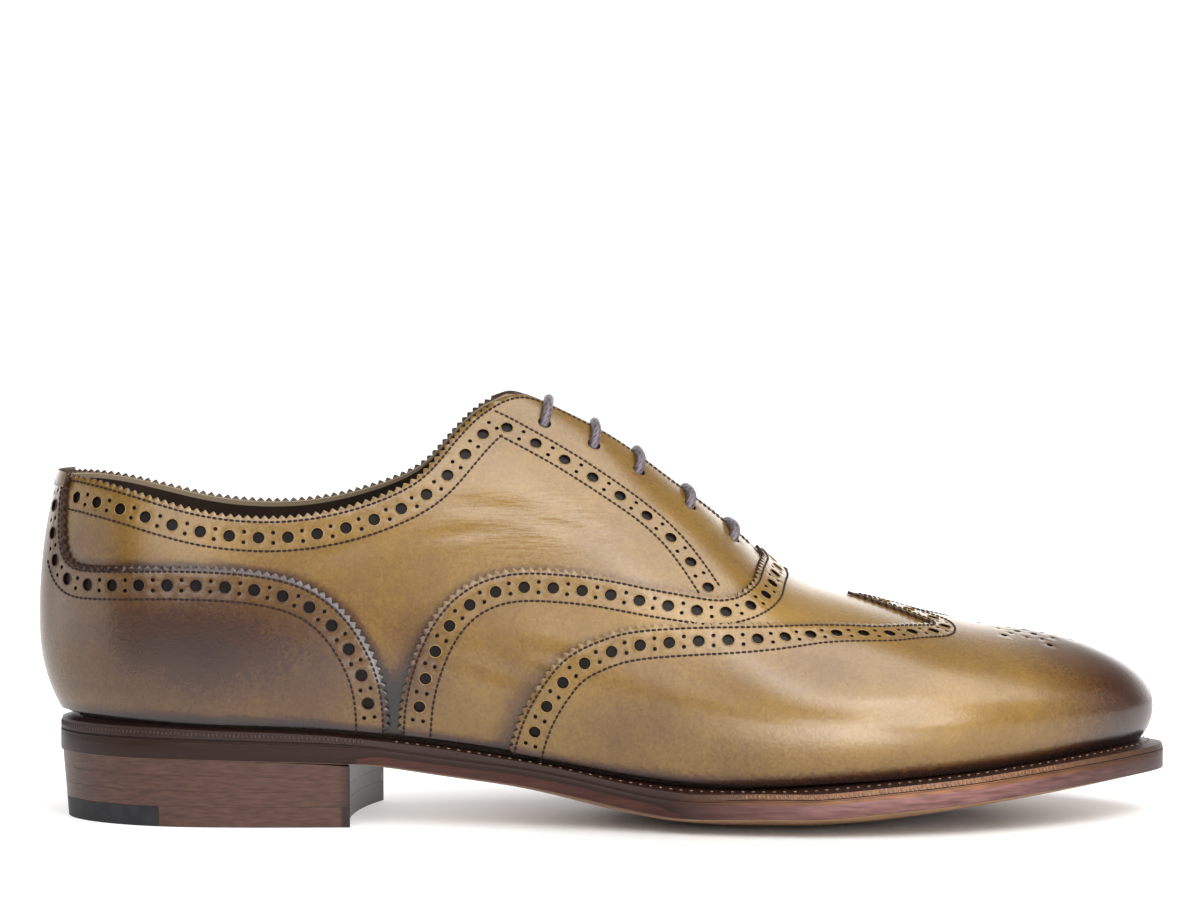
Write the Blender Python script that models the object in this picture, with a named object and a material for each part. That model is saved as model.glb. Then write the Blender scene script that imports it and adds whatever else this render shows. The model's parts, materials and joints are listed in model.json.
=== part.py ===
"""One right brogue shoe, built over the surface of its last.

+X is the toe, -Y the outer side, +Z up, and the floor is at z = 0. Sizes are in millimetres, and MM turns
them into Blender's metres where a mesh is made.
"""

import math

import bmesh
import bpy
import numpy as np
from mathutils import Matrix, Vector
from mathutils.geometry import delaunay_2d_cdt

MM = 0.001

# Driving sizes
WALL = 2.0  # upper: leather and lining together
GAP = 0.3  # left between pieces that touch
OVERLAY_GAP = 0.45  # under the overlays, whose flat facets dip towards the upper
VAMP_LIFT = 1.1  # outer faces of the overlays above the upper
WING_LIFT = 2.0
COUNTER_LIFT = 1.3
OVERLAY_FOOT = -0.84  # where overlays end above the welt, -1 being the upper's lower edge
OUTSOLE_THICKNESS = 4.7
TREAD_FLAT = 0.35  # share of the half breadth that is flat across the tread
WELT_SLOPE = 0.17  # fall of the welt's top from the upper to its edge
WELT_INNER = 2.4  # welt and insole, inwards from the upper's lower edge
INSOLE_INNER = 3.0
INSOLE_ABOVE = 1.6
TOP_PIECE = 5.5
LIFT_COUNT = 3
RUBBER_FRONT = -119.9
BREAST_OUTER, BREAST_INNER, BREAST_HOLLOW = -67.6, -60.8, 3.5
HEEL_INSET_TOP, HEEL_INSET_FLOOR = 0.4, 1.5
FACING_TOP_X, THROAT_X = -22.0, 40.0
THROAT_GAP_TOP, THROAT_GAP_FOOT = 3.0, 1.6  # half of the slit between the facings
TONGUE_HALF_WIDTH, TONGUE_THICKNESS, TONGUE_GAP = 21.0, 1.8, 0.7
TONGUE_X = (-23.0, 50.0)
EYELET_X = (-15.0, -2.6, 9.0, 22.6, 34.2)
EYELET_FROM_RIDGE = 12.0
EYELET_RADIUS = 1.9
LACE_RADIUS = 1.5
LACE_CLEARANCE = 0.4
HEEL_PIVOT, TOE_PIVOT = -118.0, 115.0  # ends of the spine that the sections fan from
TUCK_POWER = 2.4
PANEL_GRID = 7.0  # spacing of the points inside an overlay
CREST_ROWS = (-3.0, 0.0, 3.0)  # rows of points that follow the ridge, where the section turns sharply
GIRTH_ROWS = (-0.42, 0.0, 0.12, 0.25, 0.4)  # and rows about the widest line, for the same reason

LATERAL, MEDIAL = -1, 1

# The last, from the heel's back to the toe's tip: half breadths at the widest line, that line's height,
# the upper's lower edge, how far it tucks under, and how peaked the section is
LAST = (
    ("x", "lateral", "medial", "girth_z", "foot_z", "tuck_lateral", "tuck_medial", "peak_y", "peak_z"),
    (-152.4, 0.0, 0.0, 54.3, 27.6, 7.2, 7.2, 1.00, 1.00),
    (-140.0, -21.6, 21.6, 52.8, 27.6, 6.0, 6.0, 1.00, 1.00),
    (-125.0, -29.6, 29.4, 50.3, 27.4, 4.8, 4.8, 1.04, 1.00),
    (-108.0, -32.8, 32.5, 48.3, 26.8, 4.2, 4.4, 1.08, 1.00),
    (-85.0, -33.2, 31.9, 47.3, 26.0, 4.2, 5.0, 1.12, 1.02),
    (-60.0, -33.0, 29.6, 46.3, 23.8, 4.6, 6.4, 1.18, 1.06),
    (-35.0, -34.2, 28.2, 44.8, 20.7, 5.0, 7.4, 1.26, 1.14),
    (-10.0, -37.6, 29.6, 41.3, 16.6, 5.0, 7.0, 1.30, 1.20),
    (15.0, -42.6, 35.6, 35.8, 13.1, 4.4, 5.4, 1.28, 1.22),
    (40.0, -47.2, 43.6, 30.8, 12.1, 4.0, 4.2, 1.20, 1.16),
    (60.0, -48.6, 47.8, 28.5, 13.4, 4.0, 4.0, 1.14, 1.08),
    (80.0, -46.7, 48.9, 28.1, 14.8, 4.0, 4.0, 1.08, 1.03),
    (100.0, -40.4, 46.2, 28.5, 16.3, 4.0, 4.0, 1.03, 1.00),
    (120.0, -29.6, 38.5, 29.1, 18.0, 4.0, 4.0, 1.00, 1.00),
    (135.0, -17.8, 28.6, 29.3, 19.4, 4.0, 4.0, 1.00, 1.00),
    (149.6, 6.0, 6.0, 29.5, 20.6, 4.0, 4.0, 1.00, 1.00),
)
# The ridge that the sections rise to, carried on over the open collar
RIDGE = (
    ("x", "y", "z"),
    (-152.0, 0.0, 126.8),
    (-118.0, 0.0, 123.8),
    (-85.0, 0.0, 120.8),
    (-43.0, 0.4, 118.3),
    (-22.0, 1.0, 116.5),
    (-11.0, 1.5, 111.7),
    (5.0, 2.4, 102.7),
    (17.0, 3.0, 93.5),
    (29.0, 3.7, 84.1),
    (40.0, 4.4, 74.5),
    (51.0, 5.0, 65.1),
    (60.0, 5.4, 60.7),
    (70.0, 5.7, 57.9),
    (92.0, 6.0, 52.1),
    (115.0, 6.0, 48.1),
    (150.0, 6.0, 44.8),
)
TOPLINE = (
    ("x", "z"),
    (-152.0, 93.7),
    (-141.0, 93.1),
    (-127.0, 90.3),
    (-110.0, 85.7),
    (-92.0, 83.5),
    (-82.0, 83.8),
    (-68.0, 86.3),
    (-55.0, 90.9),
    (-48.0, 95.3),
    (-41.0, 103.1),
    (-33.0, 110.9),
    (-26.0, 114.7),
    (-18.0, 120.3),
    (-10.0, 127.3),
)
# The sole's edge in plan, the height of its tread along the middle, and how far its edges rise above that
SOLE = (
    ("x", "lateral", "medial", "tread_z", "crown"),
    (-148.0, 0.0, 0.0, 18.3, 0.0),
    (-136.0, -21.2, 21.2, 18.3, 0.0),
    (-121.0, -28.8, 28.8, 18.3, 0.0),
    (-105.0, -31.6, 31.6, 18.2, 0.0),
    (-85.0, -32.0, 31.2, 17.6, 0.1),
    (-64.0, -31.6, 28.4, 16.2, 0.6),
    (-42.0, -32.4, 24.8, 12.9, 1.2),
    (-20.0, -35.6, 24.2, 9.4, 2.1),
    (0.0, -40.2, 28.0, 4.7, 3.1),
    (20.0, -45.8, 35.8, 1.2, 3.3),
    (36.0, -49.8, 43.0, 0.0, 4.7),
    (56.0, -52.3, 50.0, 0.0, 5.0),
    (76.0, -51.2, 52.4, 1.3, 5.3),
    (97.0, -45.8, 50.4, 4.1, 4.2),
    (119.0, -34.6, 42.6, 7.2, 3.1),
    (135.0, -23.0, 32.6, 9.6, 1.9),
    (146.0, -11.0, 22.2, 11.3, 0.7),
    (154.5, 6.0, 6.0, 12.2, 0.0),
)
# How the outsole's lower edge is cut: square at the forefoot, bevelled through the waist
SOLE_EDGE = (
    ("x", "bevel_in", "bevel_up"),
    (-148.0, 0.5, 0.8),
    (-70.0, 0.5, 0.8),
    (-60.0, 3.6, 2.9),
    (14.0, 3.6, 2.9),
    (22.0, 0.5, 0.8),
    (154.5, 0.5, 0.8),
)
# Edges of the overlays on either side, from the sole upwards
WING_EDGE = (
    ("x", "z"),
    (-24.6, 19.9),
    (-22.8, 26.9),
    (-20.0, 33.7),
    (-15.8, 40.5),
    (-9.8, 47.3),
    (-2.4, 51.3),
    (5.0, 53.7),
    (16.0, 54.9),
    (26.0, 55.1),
    (42.0, 54.5),
    (58.0, 53.5),
    (75.0, 52.1),
)
WING_VALLEY = (83.0, 16.0)  # section along the ridge, and out from it
VALLEY_SETBACK = 4.5  # the vamp's point stops this far short of it
WING_PEAK_X = 67.5
VAMP_EDGE = (
    ("x", "z"),
    (-54.4, 23.7),
    (-53.2, 36.1),
    (-50.4, 46.1),
    (-45.6, 56.1),
    (-39.0, 63.5),
    (-29.6, 68.3),
    (-19.0, 69.7),
    (-10.0, 69.2),
    (0.0, 68.0),
    (13.0, 65.3),
    (26.0, 62.7),
    (33.5, 61.9),
    (38.0, 63.3),
    (41.0, 65.5),
)
VAMP_TURN = (43.0, 5.0)
VAMP_CENTRE_X = 42.0
COUNTER_EDGE = (
    ("x", "z"),
    (-57.3, 23.9),
    (-57.4, 31.5),
    (-59.0, 41.3),
    (-62.4, 49.3),
    (-68.0, 57.5),
    (-76.8, 64.5),
    (-87.0, 68.1),
    (-101.0, 69.9),
    (-121.0, 70.2),
    (-137.0, 69.7),
    (-143.0, 70.9),
    (-145.0, 74.9),
)
STRIP_TOP_T = 0.058  # half width of the strip up the back, as a share of the last's outline


def columns(rows):
    """The named columns of a table as arrays."""
    return {name: np.array([row[i] for row in rows[1:]], float) for i, name in enumerate(rows[0])}


def spline(knots, values):
    """A natural cubic through the values, as a function that also runs on straight past both ends."""
    h = np.diff(knots)
    n = len(knots)
    system = np.eye(n)
    right = np.zeros(n)
    for i in range(1, n - 1):
        system[i, i - 1 : i + 2] = h[i - 1], 2 * (h[i - 1] + h[i]), h[i]
        right[i] = 6 * ((values[i + 1] - values[i]) / h[i] - (values[i] - values[i - 1]) / h[i - 1])
    bend = np.linalg.solve(system, right)

    def evaluate(x):
        x = np.asarray(x, float)
        i = np.clip(np.searchsorted(knots, x) - 1, 0, n - 2)
        inside = np.clip(x, knots[0], knots[-1])
        a = (knots[i + 1] - inside) / h[i]
        b = 1 - a
        curve = a * values[i] + b * values[i + 1]
        curve = curve + ((a**3 - a) * bend[i] + (b**3 - b) * bend[i + 1]) * h[i] ** 2 / 6
        end_slope = (values[i + 1] - values[i]) / h[i]
        return curve + (x - inside) * end_slope

    return evaluate


class Outline:
    """A closed plan outline: its x runs as a cosine of t, so that both ends come out round."""

    def __init__(self, rows):
        self.columns = columns(rows)
        x = self.columns["x"]
        self.start = x[0]
        self.length = x[-1] - x[0]
        knots = self.t_at(x)
        self.sides = {
            LATERAL: spline(knots, self.columns["lateral"]),
            MEDIAL: spline(knots, self.columns["medial"]),
        }

    def t_at(self, x):
        share = np.clip((np.asarray(x, float) - self.start) / self.length, 0, 1)
        return np.arccos(1 - 2 * share) / np.pi

    def x_at(self, t):
        return self.start + self.length * (1 - np.cos(np.pi * np.asarray(t, float))) / 2

    def edge(self, side, t):
        return self.x_at(t), self.sides[side](t)

    def along(self, name):
        """A further column of the table, as a function of x."""
        return spline(self.columns["x"], self.columns[name])


last = Outline(LAST)
girth_z = last.along("girth_z")
foot_z = last.along("foot_z")
tuck = {LATERAL: last.along("tuck_lateral"), MEDIAL: last.along("tuck_medial")}
peak_y = last.along("peak_y")
peak_z = last.along("peak_z")
ridge_table = columns(RIDGE)
ridge_y = spline(ridge_table["x"], ridge_table["y"])
ridge_z = spline(ridge_table["x"], ridge_table["z"])
topline_table = columns(TOPLINE)
topline_z = spline(topline_table["x"], topline_table["z"])
sole = Outline(SOLE)
tread_z = sole.along("tread_z")
crown = sole.along("crown")
sole_edge_table = columns(SOLE_EDGE)


def spine(t):
    """The point in plan that the section at t fans from."""
    share = (last.x_at(t) - last.start) / last.length
    x = HEEL_PIVOT + (TOE_PIVOT - HEEL_PIVOT) * share
    return x, ridge_y(x)


def last_point(side, t, v):
    """A point of the upper's outer face: v is -1 at its lower edge, 0 at the widest line, 1 at the ridge."""
    t, v = np.broadcast_arrays(np.asarray(t, float), np.asarray(v, float))
    edge_x, edge_y = last.edge(side, t)
    spine_x, spine_y = spine(t)
    rise = np.clip(v, 0, 1) * np.pi / 2
    fall = np.clip(-v, 0, 1)
    reach = np.cos(rise).clip(0, 1) ** peak_y(edge_x)
    reach_length = np.hypot(edge_x - spine_x, edge_y - spine_y)
    reach = reach - tuck[side](edge_x) * fall**TUCK_POWER / reach_length
    x = spine_x + (edge_x - spine_x) * reach
    y = spine_y + (edge_y - spine_y) * reach
    widest = girth_z(edge_x)
    z = widest + (ridge_z(x) - widest) * np.sin(rise) ** peak_z(edge_x) - (widest - foot_z(edge_x)) * fall
    return np.stack([x, y, z], axis=-1)


def last_normal(side, t, v):
    """The outward normal there, from neighbouring points of the surface."""
    step = 2e-3
    t, v = np.broadcast_arrays(np.asarray(t, float), np.asarray(v, float))
    t = np.clip(t, step, 1 - step)
    v = np.clip(v, -1 + step, 0.985)
    along = last_point(side, t + step, v) - last_point(side, t - step, v)
    up = last_point(side, t, v + step) - last_point(side, t, v - step)
    normal = np.cross(up, along) * side
    return normal / np.linalg.norm(normal, axis=-1, keepdims=True)


def v_at_reach(side, t, distance):
    """The v at which the section is this far out from the spine, in plan."""
    edge_x, edge_y = last.edge(side, t)
    spine_x, spine_y = spine(t)
    share = np.clip(distance / np.hypot(edge_x - spine_x, edge_y - spine_y), 0, 1)
    return np.arccos(share ** (1 / peak_y(edge_x))) * 2 / np.pi


def v_at_height(side, t, z):
    """The v at which the section has this height; z may be a number or a function of x."""
    low = np.full_like(np.asarray(t, float), -1.0)
    high = np.ones_like(low)
    for _ in range(40):
        middle = (low + high) / 2
        point = last_point(side, t, middle)
        wanted = z(point[..., 0]) if callable(z) else z
        below = point[..., 2] < wanted
        low = np.where(below, middle, low)
        high = np.where(below, high, middle)
    return (low + high) / 2


def t_at_spine(x):
    """The section whose ridge point has this x."""
    share = (np.asarray(x, float) - HEEL_PIVOT) / (TOE_PIVOT - HEEL_PIVOT)
    return last.t_at(last.start + last.length * share)


def place_at(side, x, z):
    """The (t, v) of the surface point with this x and height on one side."""
    low = np.zeros_like(np.asarray(x, float))
    high = np.ones_like(low)
    for _ in range(40):
        middle = (low + high) / 2
        short = last_point(side, middle, v_at_height(side, middle, z))[..., 0] < x
        low = np.where(short, middle, low)
        high = np.where(short, high, middle)
    t = (low + high) / 2
    return t, v_at_height(side, t, z)


def top_v(side, t):
    """Where the upper ends: at the topline, at the slit between the facings, or closed over the ridge."""
    spine_x, _ = spine(t)
    share = np.clip((spine_x - FACING_TOP_X) / (THROAT_X - FACING_TOP_X), 0, 1)
    half_gap = THROAT_GAP_TOP + (THROAT_GAP_FOOT - THROAT_GAP_TOP) * share
    slit = np.where(spine_x < THROAT_X, v_at_reach(side, t, half_gap), 1.0)
    return np.minimum(v_at_height(side, t, topline_z), slit)


def sole_share(x, y):
    """Where y lies across the sole: -1 at its outer edge, 1 at its inner edge."""
    t = sole.t_at(x)
    outer = sole.sides[LATERAL](t)
    inner = sole.sides[MEDIAL](t)
    return 2 * (y - outer) / np.maximum(inner - outer, 1e-6) - 1


def sole_bottom(x, share):
    """The height of the tread, flat in the middle and rising to its edges."""
    beyond = np.clip((np.abs(share) - TREAD_FLAT) / (1 - TREAD_FLAT), 0, 1)
    return np.maximum(tread_z(x), 0) + crown(x) * beyond**2


def outsole_top(x, y):
    return sole_bottom(x, np.clip(sole_share(x, y), -1, 1)) + OUTSOLE_THICKNESS


def weld(points, faces, normals=None, within=0.02):
    """Points that fall together made one, their normals averaged, and the faces that collapse dropped."""
    keys = np.round(np.asarray(points) / within).astype(int)
    _, first, index = np.unique(keys, axis=0, return_index=True, return_inverse=True)
    index = index.reshape(-1)
    kept = []
    for face in faces:
        ring = []
        for corner in index[list(face)]:
            if corner not in ring:
                ring.append(int(corner))
        if len(ring) > 2:
            kept.append(tuple(ring))
    merged = None
    if normals is not None:
        merged = np.zeros((len(first), 3))
        np.add.at(merged, index, normals)
        merged /= np.linalg.norm(merged, axis=1, keepdims=True)
    return np.asarray(points)[first], kept, merged


def shell(points, faces, normals, outer, inner):
    """A closed wall between two offsets of an open surface."""
    count = len(points)
    corners = np.vstack([points + outer * normals, points + inner * normals])
    walls = list(faces) + [tuple(count + i for i in reversed(face)) for face in faces]
    sides = {}
    for face in faces:
        for a, b in zip(face, face[1:] + face[:1]):
            sides[a, b] = True
    for a, b in sides:
        if (b, a) not in sides:
            walls.append((b, a, count + a, count + b))
    return corners, walls


def loft(rings, closed=False, fill=True):
    """Rings of points joined one to the next, either closed on itself or with its end rings filled."""
    rings = [np.asarray(ring, float) for ring in rings]
    size = len(rings[0])
    count = len(rings)
    faces = []
    for i in range(count if closed else count - 1):
        here = i * size
        there = (i + 1) % count * size
        for k in range(size):
            after = (k + 1) % size
            faces.append((here + k, here + after, there + after, there + k))
    if fill and not closed:
        faces.append(tuple(reversed(range(size))))
        faces.append(tuple(range((count - 1) * size, count * size)))
    points, faces, _ = weld(np.vstack(rings), faces)
    return points, faces


def add_object(name, points, faces, material, parent):
    mesh = bpy.data.meshes.new(name)
    mesh.from_pydata([tuple(point) for point in np.asarray(points) * MM], [], faces)
    shape = bmesh.new()
    shape.from_mesh(mesh)
    bmesh.ops.recalc_face_normals(shape, faces=shape.faces)
    shape.to_mesh(mesh)
    shape.free()
    mesh.materials.append(material)
    mesh.shade_smooth()
    mesh.set_sharp_from_angle(angle=math.radians(35))
    piece = bpy.data.objects.new(name, mesh)
    piece.parent = parent
    bpy.context.scene.collection.objects.link(piece)
    return piece


def leather(name, colour, roughness):
    material = bpy.data.materials.new(name)
    material.use_nodes = True
    shader = material.node_tree.nodes["Principled BSDF"]
    shader.inputs["Base Color"].default_value = (*colour, 1)
    shader.inputs["Roughness"].default_value = roughness
    shader.inputs["Metallic"].default_value = 0.0
    return material


# Sole, welt, insole and heel


def outsole(material, parent):
    across = np.array([-1, -0.8, -0.58, -TREAD_FLAT, 0, TREAD_FLAT, 0.58, 0.8, 1])
    rings = []
    for t in sole_stations():
        x, outer = sole.edge(LATERAL, t)
        inner = sole.edge(MEDIAL, t)[1]
        bevel_in = np.interp(x, sole_edge_table["x"], sole_edge_table["bevel_in"])
        bevel_up = np.interp(x, sole_edge_table["x"], sole_edge_table["bevel_up"])
        breadth = inner - outer
        narrow = min(bevel_in / max(breadth, 1e-6), 0.45)
        full = outer + breadth * (across + 1) / 2
        cut = outer + breadth * (narrow + (1 - 2 * narrow) * (across + 1) / 2)
        low = sole_bottom(x, sole_share(x, cut))
        high = sole_bottom(x, across) + OUTSOLE_THICKNESS
        edge_low = sole_bottom(x, np.array([-1.0, 1.0])) + bevel_up
        ring = [(x, y, z) for y, z in zip(cut, low)]
        ring.append((x, inner, edge_low[1]))
        ring += [(x, y, z) for y, z in zip(full[::-1], high[::-1])]
        ring.append((x, outer, edge_low[0]))
        rings.append(ring)
    return add_object("outsole", *loft(rings, fill=False), material, parent)


def sole_stations():
    """Stations along the sole, closer where the waist's bevel ends and at the flat of the tread."""
    marks = sole.t_at([-70.0, -60.0, 14.0, 22.0, 36.0, 46.0, 56.0])
    spans = [(0, marks[0], 9), (marks[0], marks[1], 2), (marks[1], marks[2], 7), (marks[2], marks[3], 3)]
    spans += [(marks[3], marks[4], 2), (marks[4], marks[6], 3), (marks[6], 1, 12)]
    return np.unique(np.concatenate([np.linspace(*span) for span in spans]))


def around(stations):
    """(side, t) all the way round, from the heel's back along the outer side and back along the inner."""
    return [(LATERAL, t) for t in stations] + [(MEDIAL, t) for t in stations[-2:0:-1]]


def inward(side, t, distance):
    """A point this far in from the upper's lower edge, in plan."""
    foot = last_point(side, t, -1.0)
    spine_x, spine_y = spine(t)
    towards = np.array([spine_x, spine_y]) - foot[:2]
    return foot[:2] + towards / np.linalg.norm(towards) * distance


def welt(material, parent):
    rings = []
    for side, t in around(np.linspace(0, 1, 34)):
        foot = last_point(side, t, -1.0)
        outer = np.array(sole.edge(side, t))
        inner = inward(side, t, WELT_INNER)
        ledge = foot[2] - GAP
        fall = WELT_SLOPE * np.linalg.norm(outer - foot[:2])
        outer_low = sole_bottom(outer[0], 1.0) + OUTSOLE_THICKNESS + GAP
        inner_low = outsole_top(*inner) + GAP
        foot_low = outsole_top(foot[0], foot[1]) + GAP
        rings.append(
            [
                (*outer, outer_low),
                (*outer, max(ledge - fall, outer_low + 1.2)),
                (foot[0], foot[1], ledge),
                (*inner, ledge),
                (*inner, inner_low),
                (foot[0], foot[1], foot_low),
            ]
        )
    return add_object("welt", *loft(rings, closed=True), material, parent)


def insole(material, parent):
    across = np.linspace(0, 1, 6)
    rings = []
    for t in np.linspace(0, 1, 25):
        outer = inward(LATERAL, t, INSOLE_INNER)
        inner = inward(MEDIAL, t, INSOLE_INNER)
        plan = outer + (inner - outer) * across[:, None]
        low = outsole_top(plan[:, 0], plan[:, 1]) + GAP
        high = np.maximum(foot_z(last.x_at(t)) + INSOLE_ABOVE, low + INSOLE_ABOVE)
        ring = [(*point, z) for point, z in zip(plan, low)]
        ring += [(*point, z) for point, z in zip(plan[::-1], high[::-1])]
        rings.append(ring)
    return add_object("insole", *loft(rings), material, parent)


def breast_x(share):
    """The heel's front face: slanted, and hollowed in the middle."""
    straight = BREAST_OUTER + (BREAST_INNER - BREAST_OUTER) * (share + 1) / 2
    return straight - BREAST_HOLLOW * (1 - share**2)


def heel_slab(name, start, front, low, high, material, parent):
    """A layer of the heel between two heights; start is None where it runs round the back."""
    across = np.linspace(-1, 1, 5)
    rings = []
    for along in np.linspace(0, 1, 13 if start is None else 8):
        begin = sole.start if start is None else start
        travel = along**2 if start is None else along
        x = begin + (front(across) - begin) * travel
        t = sole.t_at(x)
        y = sole.sides[LATERAL](t) * (1 - across) / 2 + sole.sides[MEDIAL](t) * (1 + across) / 2
        ring = []
        for height, order in ((low, across.argsort()), (high, across.argsort()[::-1])):
            z = height(x)
            share = np.clip(z / tread_z(x), 0, 1)
            inset = HEEL_INSET_FLOOR + (HEEL_INSET_TOP - HEEL_INSET_FLOOR) * share
            narrow = 1 - inset / sole.columns["medial"][3]
            middle_x = sole.columns["x"][3]
            inner_x = np.where(x < middle_x, middle_x + (x - middle_x) * narrow, x)
            ring += [(inner_x[k], y[k] * narrow[k], z[k]) for k in order]
        rings.append(ring)
    return add_object(name, *loft(rings), material, parent)


def level(z):
    """A flat height, as a function of x."""
    return lambda x: np.full_like(x, z)


def heel_split(share):
    return np.full_like(share, RUBBER_FRONT)


def heel(stack_material, rubber_material, parent):
    heel_slab("heel_rubber_tip", None, heel_split, level(0), level(TOP_PIECE), rubber_material, parent)
    start = RUBBER_FRONT + GAP
    heel_slab("heel_top_piece", start, breast_x, level(0), level(TOP_PIECE), stack_material, parent)
    for number in range(LIFT_COUNT):
        low = lift_joint(number, GAP / 2)
        high = lift_joint(number + 1, -GAP / 2)
        heel_slab(f"heel_lift_{number + 1}", None, breast_x, low, high, stack_material, parent)


def lift_joint(number, clearance):
    """The height of the joint under a lift: the lifts share out the space under the sloping sole."""
    base = TOP_PIECE + GAP / 2

    def height(x):
        return base + (tread_z(x) - GAP / 2 - base) * number / LIFT_COUNT + clearance

    return height


# Upper, tongue and overlays


def surface_grid(side, stations, heights):
    """Points, normals and quads of the last over stations and, for each station, a row of v values."""
    rows = len(heights[0])
    t = np.repeat(stations, rows)
    v = np.concatenate(heights)
    points = last_point(side, t, v)
    normals = last_normal(side, t, v)
    faces = []
    for i in range(len(stations) - 1):
        for j in range(rows - 1):
            a = i * rows + j
            quad = (a, a + rows, a + rows + 1, a + 1)
            faces.append(quad if side == LATERAL else quad[::-1])
    return points, normals, faces


def both_sides(stations, heights_of):
    """The surface over both sides, welded where they meet."""
    points, normals, faces = [], [], []
    for side in (LATERAL, MEDIAL):
        heights = [heights_of(side, t) for t in stations]
        more_points, more_normals, more_faces = surface_grid(side, stations, heights)
        start = sum(len(block) for block in points)
        points.append(more_points)
        normals.append(more_normals)
        faces += [tuple(start + i for i in face) for face in more_faces]
    return weld(np.vstack(points), faces, np.vstack(normals))


def upper_stations():
    """Stations of the upper, closer where the topline climbs to the facings and in front of the throat."""
    climb = t_at_spine([-62.0, -14.0])
    throat = t_at_spine([THROAT_X - 0.2, THROAT_X + 0.2, THROAT_X + 26.0])
    spans = [(0, climb[0], 13), (climb[0], climb[1], 11), (climb[1], throat[0], 8)]
    spans += [(throat[1], throat[2], 7), (throat[2], 1, 11)]
    return np.unique(np.concatenate([np.linspace(*span) for span in spans]))


def upper_rows(side, t):
    lower = np.array([-1.0, -0.7, -0.35])
    return np.concatenate([lower, np.linspace(0, float(top_v(side, t)), 9)])


def upper(material, parent):
    points, faces, normals = both_sides(upper_stations(), upper_rows)
    piece = add_object("upper", *shell(points, faces, normals, 0.0, -WALL), material, parent)
    cut = piece.modifiers.new("eyelets", "BOOLEAN")
    cut.operation = "DIFFERENCE"
    cut.object = eyelet_punches(parent)
    return piece


def eyelet_places():
    """(side, t, v) of each eyelet, pair by pair from the top."""
    places = []
    for x in EYELET_X:
        for side in (LATERAL, MEDIAL):
            t = t_at_spine(x)
            places.append((side, t, v_at_reach(side, t, EYELET_FROM_RIDGE)))
    return places


def eyelet_punches(parent):
    """Round punches through the facings, as one hidden cutter."""
    shape = bmesh.new()
    for side, t, v in eyelet_places():
        normal = Vector(last_normal(side, t, v))
        turn = normal.to_track_quat("Z", "Y").to_matrix().to_4x4()
        place = Matrix.Translation(Vector(last_point(side, t, v)) * MM) @ turn
        bmesh.ops.create_cone(
            shape,
            cap_ends=True,
            segments=10,
            radius1=EYELET_RADIUS * MM,
            radius2=EYELET_RADIUS * MM,
            depth=4 * WALL * MM,
            matrix=place,
        )
    mesh = bpy.data.meshes.new("eyelet_punches")
    shape.to_mesh(mesh)
    shape.free()
    cutter = bpy.data.objects.new("eyelet_punches", mesh)
    cutter.parent = parent
    cutter.hide_render = True
    cutter.display_type = "WIRE"
    bpy.context.scene.collection.objects.link(cutter)
    return cutter


def tongue_rows(side, t):
    return np.linspace(float(v_at_reach(side, t, TONGUE_HALF_WIDTH)), 1, 5)


def tongue(material, parent):
    ends = t_at_spine(TONGUE_X)
    points, faces, normals = both_sides(np.linspace(ends[0], ends[1], 12), tongue_rows)
    outer = -WALL - TONGUE_GAP
    walls = shell(points, faces, normals, outer, outer - TONGUE_THICKNESS)
    return add_object("tongue", *walls, material, parent)


def girth_lengths(side, t, count=49):
    """Lengths along the section from the ridge down to its lower edge, with the v of each."""
    v = np.linspace(1, -1, count)
    points = last_point(side, np.asarray(t, float)[..., None], v)
    steps = np.linalg.norm(np.diff(points, axis=-2), axis=-1)
    return v, np.concatenate([np.zeros_like(steps[..., :1]), np.cumsum(steps, axis=-1)], axis=-1)


def flatten_front(side, t, v):
    """A place on the front of the upper laid flat: out from the spine by its length along the section."""
    edge_x, edge_y = last.edge(side, t)
    spine_x, spine_y = spine(t)
    heights, lengths = girth_lengths(side, t)
    length = np.interp(-v, -heights, lengths)
    reach = np.hypot(edge_x - spine_x, edge_y - spine_y)
    return (spine_x + (edge_x - spine_x) / reach * length, spine_y + (edge_y - spine_y) / reach * length)


def lift_front(point):
    """The (side, t, v) of a point of that flat pattern."""
    side = LATERAL if point[1] < ridge_y(point[0]) else MEDIAL
    low, high = 0.0, 1.0
    for _ in range(40):
        t = (low + high) / 2
        spine_x, spine_y = spine(t)
        edge_x, edge_y = last.edge(side, t)
        turn = (edge_x - spine_x) * (point[1] - spine_y) - (edge_y - spine_y) * (point[0] - spine_x)
        if turn * side > 0:
            high = t
        else:
            low = t
    heights, lengths = girth_lengths(side, t)
    length = math.hypot(point[0] - spine_x, point[1] - spine_y)
    return side, t, float(np.interp(length, lengths, heights))


HEEL_CHART = 340.0  # scale of t in the flat pattern of the heel, wide so that its round is finely cut


def flatten_heel(side, t, v):
    """A place on the back of the upper laid flat: round the outline, and down the section."""
    heights, lengths = girth_lengths(side, t)
    return (side * t * HEEL_CHART, -np.interp(-v, -heights, lengths))


def lift_heel(point):
    side = LATERAL if point[0] < 0 else MEDIAL
    t = abs(point[0]) / HEEL_CHART
    heights, lengths = girth_lengths(side, t)
    return side, t, float(np.interp(-point[1], lengths, heights))


def smooth_line(table, steps=3):
    """Points along a smooth curve through a table's (x, z) rows."""
    named = columns(table)
    knots = np.concatenate([[0], np.cumsum(np.hypot(np.diff(named["x"]), np.diff(named["z"])))])
    fine = np.interp(np.arange((len(knots) - 1) * steps + 1) / steps, np.arange(len(knots)), knots)
    return spline(knots, named["x"])(fine), spline(knots, named["z"])(fine)


def edge_places(side, table):
    """An overlay's edge from the welt upwards, as (side, t, v) places."""
    x, z = smooth_line(table)
    t, v = place_at(side, x, z)
    return [(side, t[k], max(v[k], OVERLAY_FOOT)) for k in range(len(t)) if v[k] > OVERLAY_FOOT - 0.08]


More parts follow.
